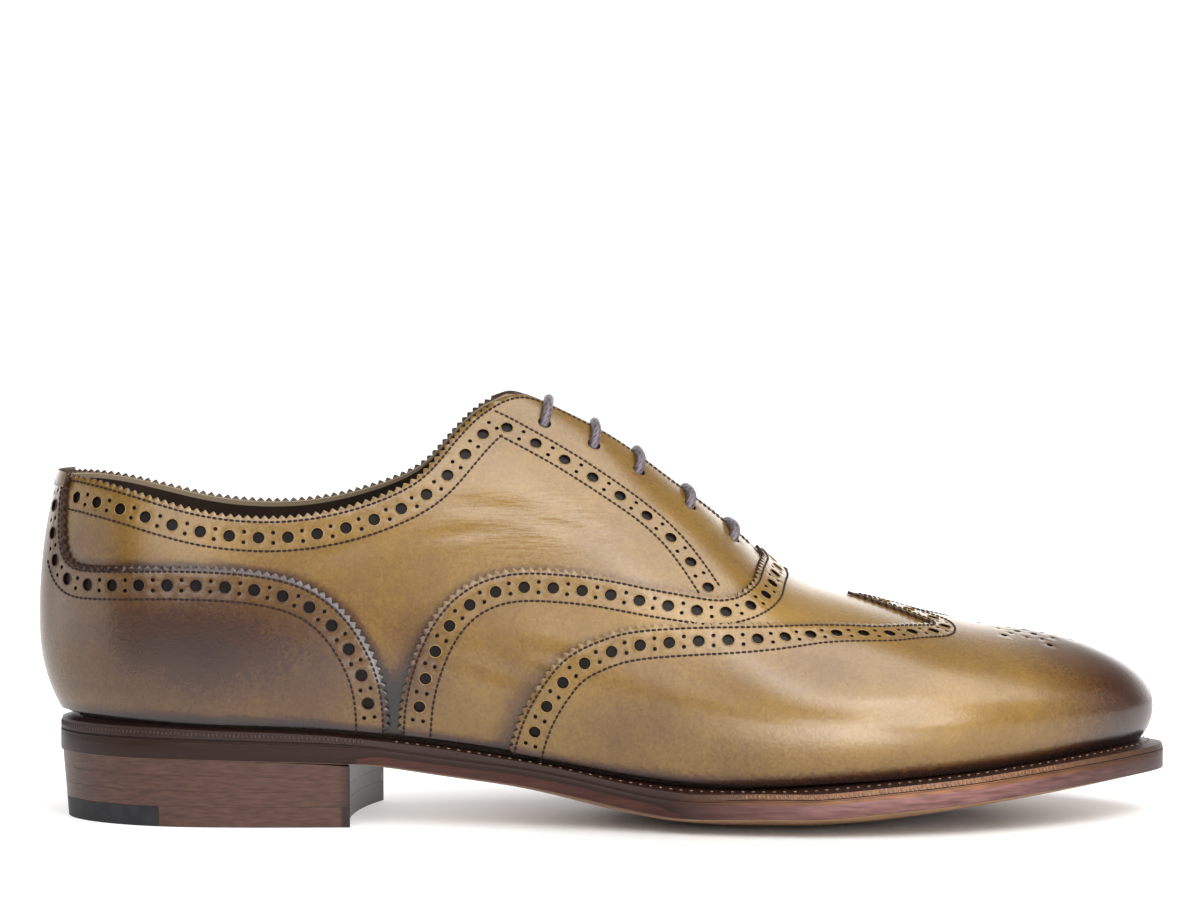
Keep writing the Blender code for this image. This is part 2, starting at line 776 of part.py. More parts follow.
def ridge_place(side, x, out):
    """A place this far out from the ridge, in plan."""
    t = t_at_spine(x)
    return side, t, v_at_reach(side, t, out)


def foot_places(side, start, end, count):
    """Places along the overlays' lower edge."""
    return [(side, t, OVERLAY_FOOT) for t in np.linspace(start, end, count)]


def inside(points, ring):
    """Which points lie inside a closed ring."""
    x, y = points[:, 0, None], points[:, 1, None]
    ax, ay = ring[:, 0], ring[:, 1]
    bx, by = np.roll(ax, -1), np.roll(ay, -1)
    rise = np.where(by == ay, 1e-12, by - ay)
    crosses = ((ay > y) != (by > y)) & (x < (bx - ax) * (y - ay) / rise + ax)
    return crosses.sum(axis=1) % 2 == 1


def clear_of_ring(points, ring, distance):
    """Which points keep this distance from every edge of the ring."""
    a = ring
    b = np.roll(ring, -1, axis=0)
    along = b - a
    share = ((points[:, None] - a) * along).sum(-1) / (along**2).sum(-1)
    nearest = a + np.clip(share, 0, 1)[..., None] * along
    return np.linalg.norm(points[:, None] - nearest, axis=-1).min(axis=1) > distance


def crest_points(start, end):
    """Rows of points along the ridge in the front's flat pattern."""
    x = np.arange(start + PANEL_GRID / 2, end, PANEL_GRID)
    return np.array([(at, ridge_y(at) + row) for row in CREST_ROWS for at in x])


def girth_points(start, flatten):
    """Rows of points about the widest line, from this station to the toe."""
    stations = np.linspace(start, 1, 28)
    places = [(side, t, v) for v in GIRTH_ROWS for side, t in around(stations)]
    return np.array([flatten(*place) for place in places], float)


def divide(places, flatten, lift):
    """The ring of places with its long steps divided, and its flat pattern."""
    ring = [np.array(flatten(*place), float) for place in places]
    fine_places, fine_ring = [], []
    for k, place in enumerate(places):
        step = ring[(k + 1) % len(ring)] - ring[k]
        count = math.ceil(np.linalg.norm(step) / (PANEL_GRID * 0.7))
        fine_places.append(place)
        fine_ring.append(ring[k])
        for part in range(1, count):
            point = ring[k] + step * part / count
            fine_places.append(lift(point))
            fine_ring.append(point)
    return fine_places, np.array(fine_ring)


def panel(name, places, flatten, lift, lift_height, material, parent, rows=None):
    """An overlay cut along a ring of places: filled flat, then laid on two larger forms of the upper."""
    places, ring = divide(places, flatten, lift)
    low, high = ring.min(axis=0), ring.max(axis=0)
    grid = np.stack(np.meshgrid(*(np.arange(low[i], high[i], PANEL_GRID) for i in (0, 1))), -1).reshape(-1, 2)
    if rows is not None:
        apart = np.linalg.norm(grid[:, None] - rows, axis=-1).min(axis=1)
        grid = np.vstack([grid[apart > PANEL_GRID * 0.75], rows])
    grid = grid[inside(grid, ring)]
    grid = grid[clear_of_ring(grid, ring, PANEL_GRID * 0.3)]
    flat = [Vector(point) for point in np.vstack([ring, grid])]
    border = [(k, (k + 1) % len(ring)) for k in range(len(ring))]
    flat, _, faces, origins, _, _ = delaunay_2d_cdt(flat, border, [], 0, 1e-6)
    flat_points = np.array([tuple(point) for point in flat])
    centres = np.array([flat_points[list(face)].mean(axis=0) for face in faces])
    faces = [tuple(face) for face, kept in zip(faces, inside(centres, ring)) if kept]
    laid = []
    for point, origin in zip(flat_points, origins):
        known = origin and origin[0] < len(places)
        laid.append(places[origin[0]] if known else lift(point))
    points = np.array([last_point(*place) for place in laid])
    normals = np.array([last_normal(*place) for place in laid])
    points, faces, normals = weld(points, faces, normals)
    return add_object(name, *shell(points, faces, normals, lift_height, OVERLAY_GAP), material, parent)


def wing_places(side):
    """One side of the wing cap's edge, from the welt to the peak on the ridge."""
    edge = edge_places(side, WING_EDGE)
    edge.append(ridge_place(side, *WING_VALLEY))
    edge.append(ridge_place(side, (WING_VALLEY[0] + WING_PEAK_X) / 2, WING_VALLEY[1] / 2))
    return edge


def wing_cap(material, parent):
    outer, inner = wing_places(LATERAL), wing_places(MEDIAL)
    peak = [(LATERAL, t_at_spine(WING_PEAK_X), 1.0)]
    foot = foot_places(MEDIAL, inner[0][1], 1, 22)[1:] + foot_places(LATERAL, 1, outer[0][1], 22)[1:-1]
    ring = outer + peak + inner[::-1] + foot
    start = last.t_at(WING_EDGE[1][0])
    rows = np.vstack([crest_points(WING_PEAK_X, TOE_PIVOT), girth_points(start, flatten_front)])
    return panel("wing_cap", ring, flatten_front, lift_front, WING_LIFT, material, parent, rows)


def beside(places, distance):
    """Places shifted sideways in the flat pattern, off the wing cap, to leave a joint."""
    side = places[0][0]
    line = np.array([flatten_front(*place) for place in places], float)
    along = np.gradient(line, axis=0)
    along /= np.linalg.norm(along, axis=1, keepdims=True)
    off = np.stack([along[:, 1], -along[:, 0]], axis=1) * side
    return [lift_front(point) for point in line + off * distance]


def vamp_side(side):
    """One side of the vamp: its rear edge up to the throat, and its front edge along the wing cap."""
    rear = edge_places(side, VAMP_EDGE)
    rear.append(ridge_place(side, *VAMP_TURN))
    front = beside(wing_places(side), 3 * GAP)
    front[-2] = ridge_place(side, WING_VALLEY[0] - VALLEY_SETBACK, WING_VALLEY[1])
    return rear, front


def vamp(material, parent):
    outer_rear, outer_front = vamp_side(LATERAL)
    inner_rear, inner_front = vamp_side(MEDIAL)
    throat = [(LATERAL, t_at_spine(VAMP_CENTRE_X), 1.0)]
    tip = [(LATERAL, t_at_spine(WING_PEAK_X - 4 * GAP), 1.0)]
    inner_foot = foot_places(MEDIAL, inner_rear[0][1], inner_front[0][1], 6)[1:-1]
    outer_foot = foot_places(LATERAL, outer_front[0][1], outer_rear[0][1], 6)[1:-1]
    ring = outer_rear + throat + inner_rear[::-1] + inner_foot + inner_front
    ring += tip + outer_front[::-1] + outer_foot
    rows = crest_points(VAMP_CENTRE_X, WING_PEAK_X)
    return panel("vamp", ring, flatten_front, lift_front, VAMP_LIFT, material, parent, rows)


def heel_counter(material, parent):
    outer = edge_places(LATERAL, COUNTER_EDGE)
    inner = edge_places(MEDIAL, COUNTER_EDGE)
    top = []
    for t in np.linspace(-STRIP_TOP_T, STRIP_TOP_T, 7):
        side = LATERAL if t < 0 else MEDIAL
        top.append((side, abs(t), float(top_v(side, abs(t))) - 0.01))
    foot = foot_places(MEDIAL, inner[0][1], 0, 14)[1:] + foot_places(LATERAL, 0, outer[0][1], 14)[1:-1]
    ring = outer + top + inner[::-1] + foot
    return panel("heel_counter", ring, flatten_heel, lift_heel, COUNTER_LIFT, material, parent)


def lace_bars(material, parent):
    """Straight bars of the round lace, from each outer eyelet over the facings to the inner one."""
    places = eyelet_places()
    for number in range(len(EYELET_X)):
        outer, inner = places[2 * number], places[2 * number + 1]
        path = [(outer[0], outer[1], v) for v in np.linspace(outer[2], 0.97, 4)]
        path += [(inner[0], inner[1], v) for v in np.linspace(0.97, inner[2], 4)]
        lift_height = LACE_RADIUS + LACE_CLEARANCE
        points = [last_point(*place) + lift_height * last_normal(*place) for place in path]
        name = f"lace_bar_{number + 1}"
        curve = bpy.data.curves.new(name, "CURVE")
        curve.dimensions = "3D"
        curve.bevel_depth = LACE_RADIUS * MM
        curve.bevel_resolution = 2
        curve.use_fill_caps = True
        run = curve.splines.new("POLY")
        run.points.add(len(points) - 1)
        for spot, point in zip(run.points, points):
            spot.co = (*(point * MM), 1)
        curve.materials.append(material)
        bar = bpy.data.objects.new(name, curve)
        bar.parent = parent
        bpy.context.scene.collection.objects.link(bar)


def main():
    for old in list(bpy.data.objects):
        bpy.data.objects.remove(old)
    shoe = bpy.data.objects.new("brogue", None)
    bpy.context.scene.collection.objects.link(shoe)
    calf = leather("olive_tan_calf", (0.37, 0.25, 0.10), 0.35)
    dark_calf = leather("burnished_calf", (0.20, 0.12, 0.05), 0.3)
    sole_leather = leather("stained_sole_leather", (0.12, 0.055, 0.045), 0.4)
    lining = leather("lining_leather", (0.30, 0.20, 0.12), 0.6)
    rubber = leather("black_rubber", (0.02, 0.02, 0.022), 0.6)
    cord = leather("waxed_cotton", (0.15, 0.12, 0.13), 0.6)
    outsole(sole_leather, shoe)
    welt(sole_leather, shoe)
    heel(sole_leather, rubber, shoe)
    insole(lining, shoe)
    upper(calf, shoe)
    tongue(calf, shoe)
    vamp(calf, shoe)
    wing_cap(dark_calf, shoe)
    heel_counter(dark_calf, shoe)
    lace_bars(cord, shoe)


main()
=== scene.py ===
# %% [markdown]
# # Dressing a brogue
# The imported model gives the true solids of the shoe. This lesson dresses them: it lays leather panels on
# the same last, punches and gimps their edges, sews them, finishes the welted sole and the stacked heel,
# and sets the shoe in soft studio light. All sizes below are millimetres, and MM turns them into Blender's
# metres.

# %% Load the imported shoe
import json
import math

import bmesh
import bpy
import numpy as np
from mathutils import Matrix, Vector
from mathutils.geometry import delaunay_2d_cdt

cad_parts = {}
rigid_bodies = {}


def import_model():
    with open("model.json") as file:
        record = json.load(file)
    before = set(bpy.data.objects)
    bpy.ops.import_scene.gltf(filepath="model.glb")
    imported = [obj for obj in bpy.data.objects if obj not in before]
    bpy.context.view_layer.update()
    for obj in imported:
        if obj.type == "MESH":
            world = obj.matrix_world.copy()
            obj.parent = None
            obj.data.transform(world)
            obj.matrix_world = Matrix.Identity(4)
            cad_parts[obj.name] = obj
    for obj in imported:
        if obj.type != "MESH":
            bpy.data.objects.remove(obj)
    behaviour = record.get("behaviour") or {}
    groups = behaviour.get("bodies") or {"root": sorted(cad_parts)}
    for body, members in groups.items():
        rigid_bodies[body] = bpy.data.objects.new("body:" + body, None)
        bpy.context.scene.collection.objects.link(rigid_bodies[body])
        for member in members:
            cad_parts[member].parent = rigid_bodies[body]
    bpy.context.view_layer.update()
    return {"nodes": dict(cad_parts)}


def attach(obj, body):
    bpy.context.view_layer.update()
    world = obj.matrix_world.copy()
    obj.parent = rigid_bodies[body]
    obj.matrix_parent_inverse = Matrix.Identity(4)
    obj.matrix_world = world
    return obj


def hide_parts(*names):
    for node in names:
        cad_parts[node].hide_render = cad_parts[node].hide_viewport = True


for leftover in list(bpy.data.objects):
    bpy.data.objects.remove(leftover)
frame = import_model()
MM = 0.001
LATERAL, MEDIAL = -1, 1
SIDES = (LATERAL, MEDIAL)

# %% [markdown]
# ## The last
# A shoe is drawn over a last, the maker's block in the shape of a foot. The same table that shapes the
# solids shapes the leather here: half breadths at the widest line, the height of that line, the lower edge
# of the upper, how far it tucks under, and how peaked each section is. A second table gives the ridge over
# the instep.

# %% Tables of the last
LAST = (
    ("x", "lateral", "medial", "girth_z", "foot_z", "tuck_lateral", "tuck_medial", "peak_y", "peak_z"),
    (-152.4, 0.0, 0.0, 54.3, 27.6, 7.2, 7.2, 1.00, 1.00),
    (-140.0, -21.6, 21.6, 52.8, 27.6, 6.0, 6.0, 1.00, 1.00),
    (-125.0, -29.6, 29.4, 50.3, 27.4, 4.8, 4.8, 1.04, 1.00),
    (-108.0, -32.8, 32.5, 48.3, 26.8, 4.2, 4.4, 1.08, 1.00),
    (-85.0, -33.2, 31.9, 47.3, 26.0, 4.2, 5.0, 1.12, 1.02),
    (-60.0, -33.0, 29.6, 46.3, 23.8, 4.6, 6.4, 1.18, 1.06),
    (-35.0, -34.2, 28.2, 44.8, 20.7, 5.0, 7.4, 1.26, 1.14),
    (-10.0, -37.6, 29.6, 41.3, 16.6, 5.0, 7.0, 1.30, 1.20),
    (15.0, -42.6, 35.6, 35.8, 13.1, 4.4, 5.4, 1.28, 1.22),
    (40.0, -47.2, 43.6, 30.8, 12.1, 4.0, 4.2, 1.20, 1.16),
    (60.0, -48.6, 47.8, 28.5, 13.4, 4.0, 4.0, 1.14, 1.08),
    (80.0, -46.7, 48.9, 28.1, 14.8, 4.0, 4.0, 1.08, 1.03),
    (100.0, -40.4, 46.2, 28.5, 16.3, 4.0, 4.0, 1.03, 1.00),
    (120.0, -29.6, 38.5, 29.1, 18.0, 4.0, 4.0, 1.00, 1.00),
    (135.0, -17.8, 28.6, 29.3, 19.4, 4.0, 4.0, 1.00, 1.00),
    (149.6, 6.0, 6.0, 29.5, 20.6, 4.0, 4.0, 1.00, 1.00),
)
RIDGE = (
    ("x", "y", "z"),
    (-152.0, 0.0, 126.8), (-118.0, 0.0, 123.8), (-85.0, 0.0, 120.8), (-43.0, 0.4, 118.3), (-22.0, 1.0, 116.5),
    (-11.0, 1.5, 111.7), (5.0, 2.4, 102.7), (17.0, 3.0, 93.5), (29.0, 3.7, 84.1), (40.0, 4.4, 74.5),
    (51.0, 5.0, 65.1), (60.0, 5.4, 60.7), (70.0, 5.7, 57.9), (92.0, 6.0, 52.1), (115.0, 6.0, 48.1),
    (150.0, 6.0, 44.8),
)
HEEL_PIVOT, TOE_PIVOT = -118.0, 115.0
TUCK_POWER = 2.4
HALVINGS = 34


def columns(rows):
    """The named columns of a table as arrays."""
    return {name: np.array([row[i] for row in rows[1:]], float) for i, name in enumerate(rows[0])}


def spline(knots, values):
    """A natural cubic through the values, as a function that runs on straight past both ends."""
    h = np.diff(knots)
    n = len(knots)
    system = np.eye(n)
    right = np.zeros(n)
    for i in range(1, n - 1):
        system[i, i - 1 : i + 2] = h[i - 1], 2 * (h[i - 1] + h[i]), h[i]
        right[i] = 6 * ((values[i + 1] - values[i]) / h[i] - (values[i] - values[i - 1]) / h[i - 1])
    bend = np.linalg.solve(system, right)

    def evaluate(x):
        x = np.asarray(x, float)
        i = np.clip(np.searchsorted(knots, x) - 1, 0, n - 2)
        within = np.clip(x, knots[0], knots[-1])
        a = (knots[i + 1] - within) / h[i]
        b = 1 - a
        curve = a * values[i] + b * values[i + 1]
        curve = curve + ((a**3 - a) * bend[i] + (b**3 - b) * bend[i + 1]) * h[i] ** 2 / 6
        return curve + (x - within) * (values[i + 1] - values[i]) / h[i]

    return evaluate


class Outline:
    """A closed plan outline: x runs as a cosine of t, so that both ends come out round."""

    def __init__(self, rows):
        self.columns = columns(rows)
        x = self.columns["x"]
        self.start, self.length = x[0], x[-1] - x[0]
        self.lateral = spline(self.t_at(x), self.columns["lateral"])
        self.medial = spline(self.t_at(x), self.columns["medial"])

    def t_at(self, x):
        share = np.clip((np.asarray(x, float) - self.start) / self.length, 0, 1)
        return np.arccos(1 - 2 * share) / np.pi

    def edge(self, side, t):
        x = self.start + self.length * (1 - np.cos(np.pi * np.asarray(t, float))) / 2
        return x, np.where(np.asarray(side) < 0, self.lateral(t), self.medial(t))

    def along(self, name):
        return spline(self.columns["x"], self.columns[name])


last = Outline(LAST)
girth_z, foot_z = last.along("girth_z"), last.along("foot_z")
tuck_lateral, tuck_medial = last.along("tuck_lateral"), last.along("tuck_medial")
peak_y, peak_z = last.along("peak_y"), last.along("peak_z")
ridge_table = columns(RIDGE)
ridge_y = spline(ridge_table["x"], ridge_table["y"])
ridge_z = spline(ridge_table["x"], ridge_table["z"])
print("last:", len(LAST) - 1, "sections, length", round(last.length, 1), "mm")

# %% [markdown]
# ## The surface of the upper
# Any point of the upper is named by its side, by t along the outline from the heel's back (0) to the toe
# (1), and by v up the section: -1 at the lower edge, 0 at the widest line and 1 at the ridge. Normals come
# from neighbouring points, so every panel can be laid at its own height over the last and still shade
# smoothly.

# %% Points and normals of the upper


def spine(t):
    """The point in plan that the section at t fans from."""
    x = HEEL_PIVOT + (TOE_PIVOT - HEEL_PIVOT) * (1 - np.cos(np.pi * np.asarray(t, float))) / 2
    return x, ridge_y(x)


def last_point(side, t, v):
    side, t, v = np.broadcast_arrays(side, np.asarray(t, float), np.asarray(v, float))
    edge_x, edge_y = last.edge(side, t)
    spine_x, spine_y = spine(t)
    rise = np.clip(v, 0, 1) * np.pi / 2
    fall = np.clip(-v, 0, 1)
    tuck = np.where(side < 0, tuck_lateral(edge_x), tuck_medial(edge_x))
    reach = np.cos(rise).clip(0, 1) ** peak_y(edge_x)
    reach = reach - tuck * fall**TUCK_POWER / np.hypot(edge_x - spine_x, edge_y - spine_y)
    x = spine_x + (edge_x - spine_x) * reach
    y = spine_y + (edge_y - spine_y) * reach
    widest = girth_z(edge_x)
    z = widest + (ridge_z(x) - widest) * np.sin(rise) ** peak_z(edge_x) - (widest - foot_z(edge_x)) * fall
    return np.stack([x, y, z], axis=-1)


def unit(vectors):
    return vectors / np.maximum(np.linalg.norm(vectors, axis=-1, keepdims=True), 1e-12)


def last_normal(side, t, v):
    step = 2e-3
    side, t, v = np.broadcast_arrays(side, np.asarray(t, float), np.asarray(v, float))
    t = np.clip(t, step, 1 - step)
    v = np.clip(v, -1 + step, 0.985)
    along = last_point(side, t + step, v) - last_point(side, t - step, v)
    up = last_point(side, t, v + step) - last_point(side, t, v - step)
    return unit(np.cross(up, along) * np.asarray(side)[..., None])


def v_at_reach(side, t, distance):
    """The v at which the section is this far out from the spine, in plan."""
    edge_x, edge_y = last.edge(side, t)
    spine_x, spine_y = spine(t)
    share = np.clip(distance / np.hypot(edge_x - spine_x, edge_y - spine_y), 0, 1)
    return np.arccos(share ** (1 / peak_y(edge_x))) * 2 / np.pi


def found_by_halving(low, high, falls_short):
    """Where falls_short turns from true to false between two arrays of values."""
    for _ in range(HALVINGS):
        middle = (low + high) / 2
        short = falls_short(middle)
        low = np.where(short, middle, low)
        high = np.where(short, high, middle)
    return (low + high) / 2


def v_at_height(side, t, z):
    """The v at which the section has this height; z may be a function of x."""

    def below(v):
        point = last_point(side, t, v)
        return point[..., 2] < (z(point[..., 0]) if callable(z) else z)

    return found_by_halving(np.full(np.shape(t), -1.0), np.ones(np.shape(t)), below)


def t_at_spine(x):
    share = np.clip((np.asarray(x, float) - HEEL_PIVOT) / (TOE_PIVOT - HEEL_PIVOT), 0, 1)
    return np.arccos(1 - 2 * share) / np.pi


def place_at(side, x, z):
    """The (t, v) of the surface point with this x and height on one side."""

    def behind(t):
        return last_point(side, t, v_at_height(side, t, z))[..., 0] < x

    t = found_by_halving(np.zeros(np.shape(x)), np.ones(np.shape(x)), behind)
    return t, v_at_height(side, t, z)


ends = {"toe tip": last_point(LATERAL, 1.0, 0.0), "heel back": last_point(LATERAL, 0.0, 0.0)}
print({name: np.round(point, 1).tolist() for name, point in ends.items()})

# %% [markdown]
# ## Flat patterns
# A closer cuts each panel flat and then lasts it over the block. Panels are drawn the same way here. The
# front pattern spreads the sections out from the ridge by their real length. The back pattern unrolls the
# heel like a label. Both are only drawing boards: every width, hole and stitch is measured on the leather
# itself.

# %% Drawing boards for the front and the back
LENGTH_T = np.linspace(0, 1, 241)
LENGTH_V = np.linspace(1, -1, 121)
BACK_SCALE = 340.0
lengths = {}
for side_sign in SIDES:
    section = last_point(side_sign, LENGTH_T[:, None], LENGTH_V[None, :])
    steps = np.linalg.norm(np.diff(section, axis=1), axis=-1)
    lengths[side_sign] = np.concatenate([np.zeros((len(LENGTH_T), 1)), np.cumsum(steps, axis=1)], axis=1)


def section_lengths(side, t):
    """For each place, the lengths down its section at every v of LENGTH_V."""
    spot = np.clip(np.asarray(t, float), 0, 1) * (len(LENGTH_T) - 1)
    i = np.minimum(spot.astype(int), len(LENGTH_T) - 2)
    share = (spot - i)[:, None]
    both = []
    for sign in SIDES:
        both.append(lengths[sign][i] * (1 - share) + lengths[sign][i + 1] * share)
    return np.where((np.asarray(side) < 0)[:, None], both[0], both[1])


def length_of(side, t, v):
    rows = section_lengths(side, t)
    spot = np.clip((1 - np.asarray(v)) / 2, 0, 1) * (len(LENGTH_V) - 1)
    j = np.minimum(spot.astype(int), len(LENGTH_V) - 2)
    n = np.arange(len(j))
    return rows[n, j] + (rows[n, j + 1] - rows[n, j]) * (spot - j)


def v_of_length(side, t, length):
    rows = section_lengths(side, t)
    j = np.clip((rows < length[:, None]).sum(axis=1) - 1, 0, len(LENGTH_V) - 2)
    n = np.arange(len(j))
    share = (length - rows[n, j]) / np.maximum(rows[n, j + 1] - rows[n, j], 1e-9)
    return LENGTH_V[j] + (LENGTH_V[j + 1] - LENGTH_V[j]) * np.clip(share, 0, 1)


class FrontBoard:
    """The front of the upper spread out flat from its ridge."""

    def flat(self, side, t, v):
        side, t, v = (np.ravel(a) for a in np.broadcast_arrays(side, np.asarray(t, float), v))
        edge_x, edge_y = last.edge(side, t)
        spine_x, spine_y = spine(t)
        share = length_of(side, t, v) / np.hypot(edge_x - spine_x, edge_y - spine_y)
        return np.stack([spine_x + (edge_x - spine_x) * share, spine_y + (edge_y - spine_y) * share], axis=1)

    def lift(self, points):
        side = np.where(points[:, 1] < ridge_y(points[:, 0]), LATERAL, MEDIAL)
        low, high = np.zeros(len(points)), np.ones(len(points))
        for _ in range(36):
            t = (low + high) / 2
            spine_x, spine_y = spine(t)
            edge_x, edge_y = last.edge(side, t)
            turn = (edge_x - spine_x) * (points[:, 1] - spine_y)
            turn = turn - (edge_y - spine_y) * (points[:, 0] - spine_x)
            past = turn * side > 0
            high = np.where(past, t, high)
            low = np.where(past, low, t)
        length = np.hypot(points[:, 0] - spine_x, points[:, 1] - spine_y)
        return side, t, v_of_length(side, t, length)


class BackBoard:
    """The back of the upper unrolled, with the middle of the heel at 0."""

    def flat(self, side, t, v):
        side, t, v = (np.ravel(a) for a in np.broadcast_arrays(side, np.asarray(t, float), v))
        return np.stack([side * t * BACK_SCALE, -length_of(side, t, v)], axis=1)

    def lift(self, points):
        side = np.where(points[:, 0] < 0, LATERAL, MEDIAL)
        t = np.clip(np.abs(points[:, 0]) / BACK_SCALE, 0, 1)
        return side, t, v_of_length(side, t, -points[:, 1])


def lay(board, points):
    """Points and normals on the last for points of a drawing board."""
    place = board.lift(np.asarray(points, float))
    return last_point(*place), last_normal(*place)


def tangents(board, points):
    """For each point, how the leather moves as the board's two coordinates grow."""
    step = 0.05
    points = np.asarray(points, float)
    ways = []
    for way in ((step, 0), (0, step)):
        ways.append((lay(board, points + way)[0] - lay(board, points - way)[0]) / (2 * step))
    return np.stack(ways, axis=-1)


def board_steps(board, points, moves):
    """The board's steps that make these moves on the leather."""
    spread = tangents(board, points)
    return np.einsum("nij,nj->ni", np.linalg.pinv(spread), moves)


front, back = FrontBoard(), BackBoard()
sample = front.flat(LATERAL, np.array([0.7]), np.array([0.3]))
print("front board:", np.round(sample, 2), "comes back to", np.round(np.stack(front.lift(sample)), 3).ravel())

# %% [markdown]
# ## Edges of the panels
# The edges are short tables of stations and heights measured on the shoe's side. The vamp sweeps up from
# the waist and turns round the throat, the wing cap runs from the toe back along both sides with a peak on
# the ridge, and the counter wraps the heel and climbs the back as a strip.

# %% Tables of the panel edges
TOPLINE = (
    ("x", "z"),
    (-152.0, 93.7), (-141.0, 93.1), (-127.0, 90.3), (-110.0, 85.7), (-92.0, 83.5),
    (-82.0, 83.8), (-68.0, 86.3), (-55.0, 90.9), (-48.0, 95.3), (-41.0, 103.1),
    (-33.0, 110.9), (-26.0, 114.7), (-18.0, 120.3), (-10.0, 127.3),
)
WING_EDGE = (
    ("x", "z"),
    (-24.6, 19.9), (-22.8, 26.9), (-20.0, 33.7), (-15.8, 40.5), (-9.8, 47.3),
    (-2.4, 51.3), (5.0, 53.7), (16.0, 54.9), (26.0, 55.1), (42.0, 54.5),
    (58.0, 53.5), (75.0, 52.1),
)
WING_VALLEY = (83.0, 16.0)
WING_PEAK_X = 67.5
VAMP_EDGE = (
    ("x", "z"),
    (-54.4, 23.7), (-53.2, 36.1), (-50.4, 46.1), (-45.6, 56.1), (-39.0, 63.5),
    (-29.6, 68.3), (-19.0, 69.7), (-10.0, 69.2), (0.0, 68.0), (13.0, 65.3),
    (26.0, 62.7), (33.5, 61.9), (38.0, 63.3), (41.0, 65.5),
)
VAMP_TURN = (43.0, 5.0)
VAMP_CENTRE_X = 42.0
COUNTER_EDGE = (
    ("x", "z"),
    (-57.3, 23.9), (-57.4, 31.5), (-59.0, 41.3), (-62.4, 49.3), (-68.0, 57.5),
    (-76.8, 64.5), (-87.0, 68.1), (-101.0, 69.9), (-121.0, 70.2), (-137.0, 69.7),
    (-143.0, 70.9), (-145.0, 74.9),
)
STRIP_TOP_T = 0.058
FACING_LINE = (
    ("x", "z"),
    (-25.6, 106.7), (-11.5, 99.1), (3.1, 89.9), (17.6, 78.7), (23.5, 72.0),
    (28.6, 64.9),
)
FACING_TOP_X, THROAT_X = -22.0, 40.0
FACING_END_X = THROAT_X - 0.4
TOPLINE_END_X, TURN_X, SLIT_START_X = -28.0, -24.6, -20.0
THROAT_GAP_TOP, THROAT_GAP_FOOT = 3.0, 1.6
STRIP_LOWER = 0.004
EDGE_SPACING, POINT_ROUNDING, TURN_ROUNDING = 0.55, 3.0, 2.6
OVERLAY_FOOT = -0.9
INNER_RISE, INNER_RISE_X = 1.0, (-125.0, -65.0)
topline_table = columns(TOPLINE)
topline_z = spline(topline_table["x"], topline_table["z"])


def top_v(side, t):
    """Where the upper ends: at the topline, at the slit between the facings, or closed over the ridge."""
    spine_x, _ = spine(t)
    share = np.clip((spine_x - FACING_TOP_X) / (THROAT_X - FACING_TOP_X), 0, 1)
    half_gap = THROAT_GAP_TOP + (THROAT_GAP_FOOT - THROAT_GAP_TOP) * share
    slit = np.where(spine_x < THROAT_X, v_at_reach(side, t, half_gap), 1.0)

    def height(x):
        return topline_z(x) + INNER_RISE * (side > 0) * np.interp(x, INNER_RISE_X, (0, 1))

    return np.minimum(v_at_height(side, t, height), slit)


def top_edge(side, start_x, end_x, count):
    """The upper's top edge between two places on the ridge, on the back board."""
    stations = np.linspace(float(t_at_spine(start_x)), float(t_at_spine(end_x)), count)
    return back.flat(side, stations, top_v(side, stations))


def run_along(points):
    """How far along a line each of its points lies."""
    return np.concatenate([[0], np.cumsum(np.linalg.norm(np.diff(points, axis=0), axis=1))])


def even(board, line, spacing, multiple=1):
    """A line on a board divided evenly, by its length on the leather, in a multiple of so many steps."""
    line = np.asarray(line, float)
    run = run_along(lay(board, line)[0])
    count = max(int(round(run[-1] / spacing / multiple)), 1) * multiple
    wanted = np.linspace(0, run[-1], count + 1)
    return np.stack([np.interp(wanted, run, line[:, i]) for i in (0, 1)], axis=1)


def table_line(board, side, table, steps=12):
    """A smooth line on a board through a table's (x, z) rows on one side of the shoe."""
    named = columns(table)
    knots = np.concatenate([[0], np.cumsum(np.hypot(np.diff(named["x"]), np.diff(named["z"])))])
    fine = np.linspace(0, knots[-1], (len(knots) - 1) * steps + 1)
    t, v = place_at(side, spline(knots, named["x"])(fine), spline(knots, named["z"])(fine))
    kept = v > OVERLAY_FOOT
    return board.flat(side, t[kept], v[kept])


def ridge_spot(board, side, x, out):
    t = t_at_spine(x)
    return board.flat(side, t, v_at_reach(side, t, out))[0]


def corner(before, tip, after, radius, count=7):
    """A rounded corner between two directions, as a short curve of points."""
    start = tip + (before - tip) / np.linalg.norm(before - tip) * radius
    end = tip + (after - tip) / np.linalg.norm(after - tip) * radius
    share = np.linspace(0, 1, count)[:, None]
    return start * (1 - share) ** 2 + 2 * tip * share * (1 - share) + end * share**2


def wing_line(side):
    """The wing cap's edge on one side, from the welt to the peak on the ridge."""
    rise = table_line(front, side, WING_EDGE)
    valley = ridge_spot(front, side, *WING_VALLEY)
    peak = ridge_spot(front, side, WING_PEAK_X, 0.0)
    return np.vstack([rise, corner(rise[-1], valley, peak, POINT_ROUNDING), peak])


def vamp_line(side):
    """The vamp's rear edge on one side, from the welt round the throat to the ridge."""
    rise = table_line(front, side, VAMP_EDGE)
    turn = ridge_spot(front, side, *VAMP_TURN)
    centre = ridge_spot(front, side, VAMP_CENTRE_X, 0.0)
    return np.vstack([rise, corner(rise[-1], turn, centre, POINT_ROUNDING), centre])


def counter_line(side):
    """The counter's edge on one side, from the welt back and up the strip to the topline."""
    rise = table_line(back, side, COUNTER_EDGE)
    top = back.flat(side, STRIP_TOP_T, float(top_v(side, STRIP_TOP_T)) - STRIP_LOWER)
    return np.vstack([rise, top])


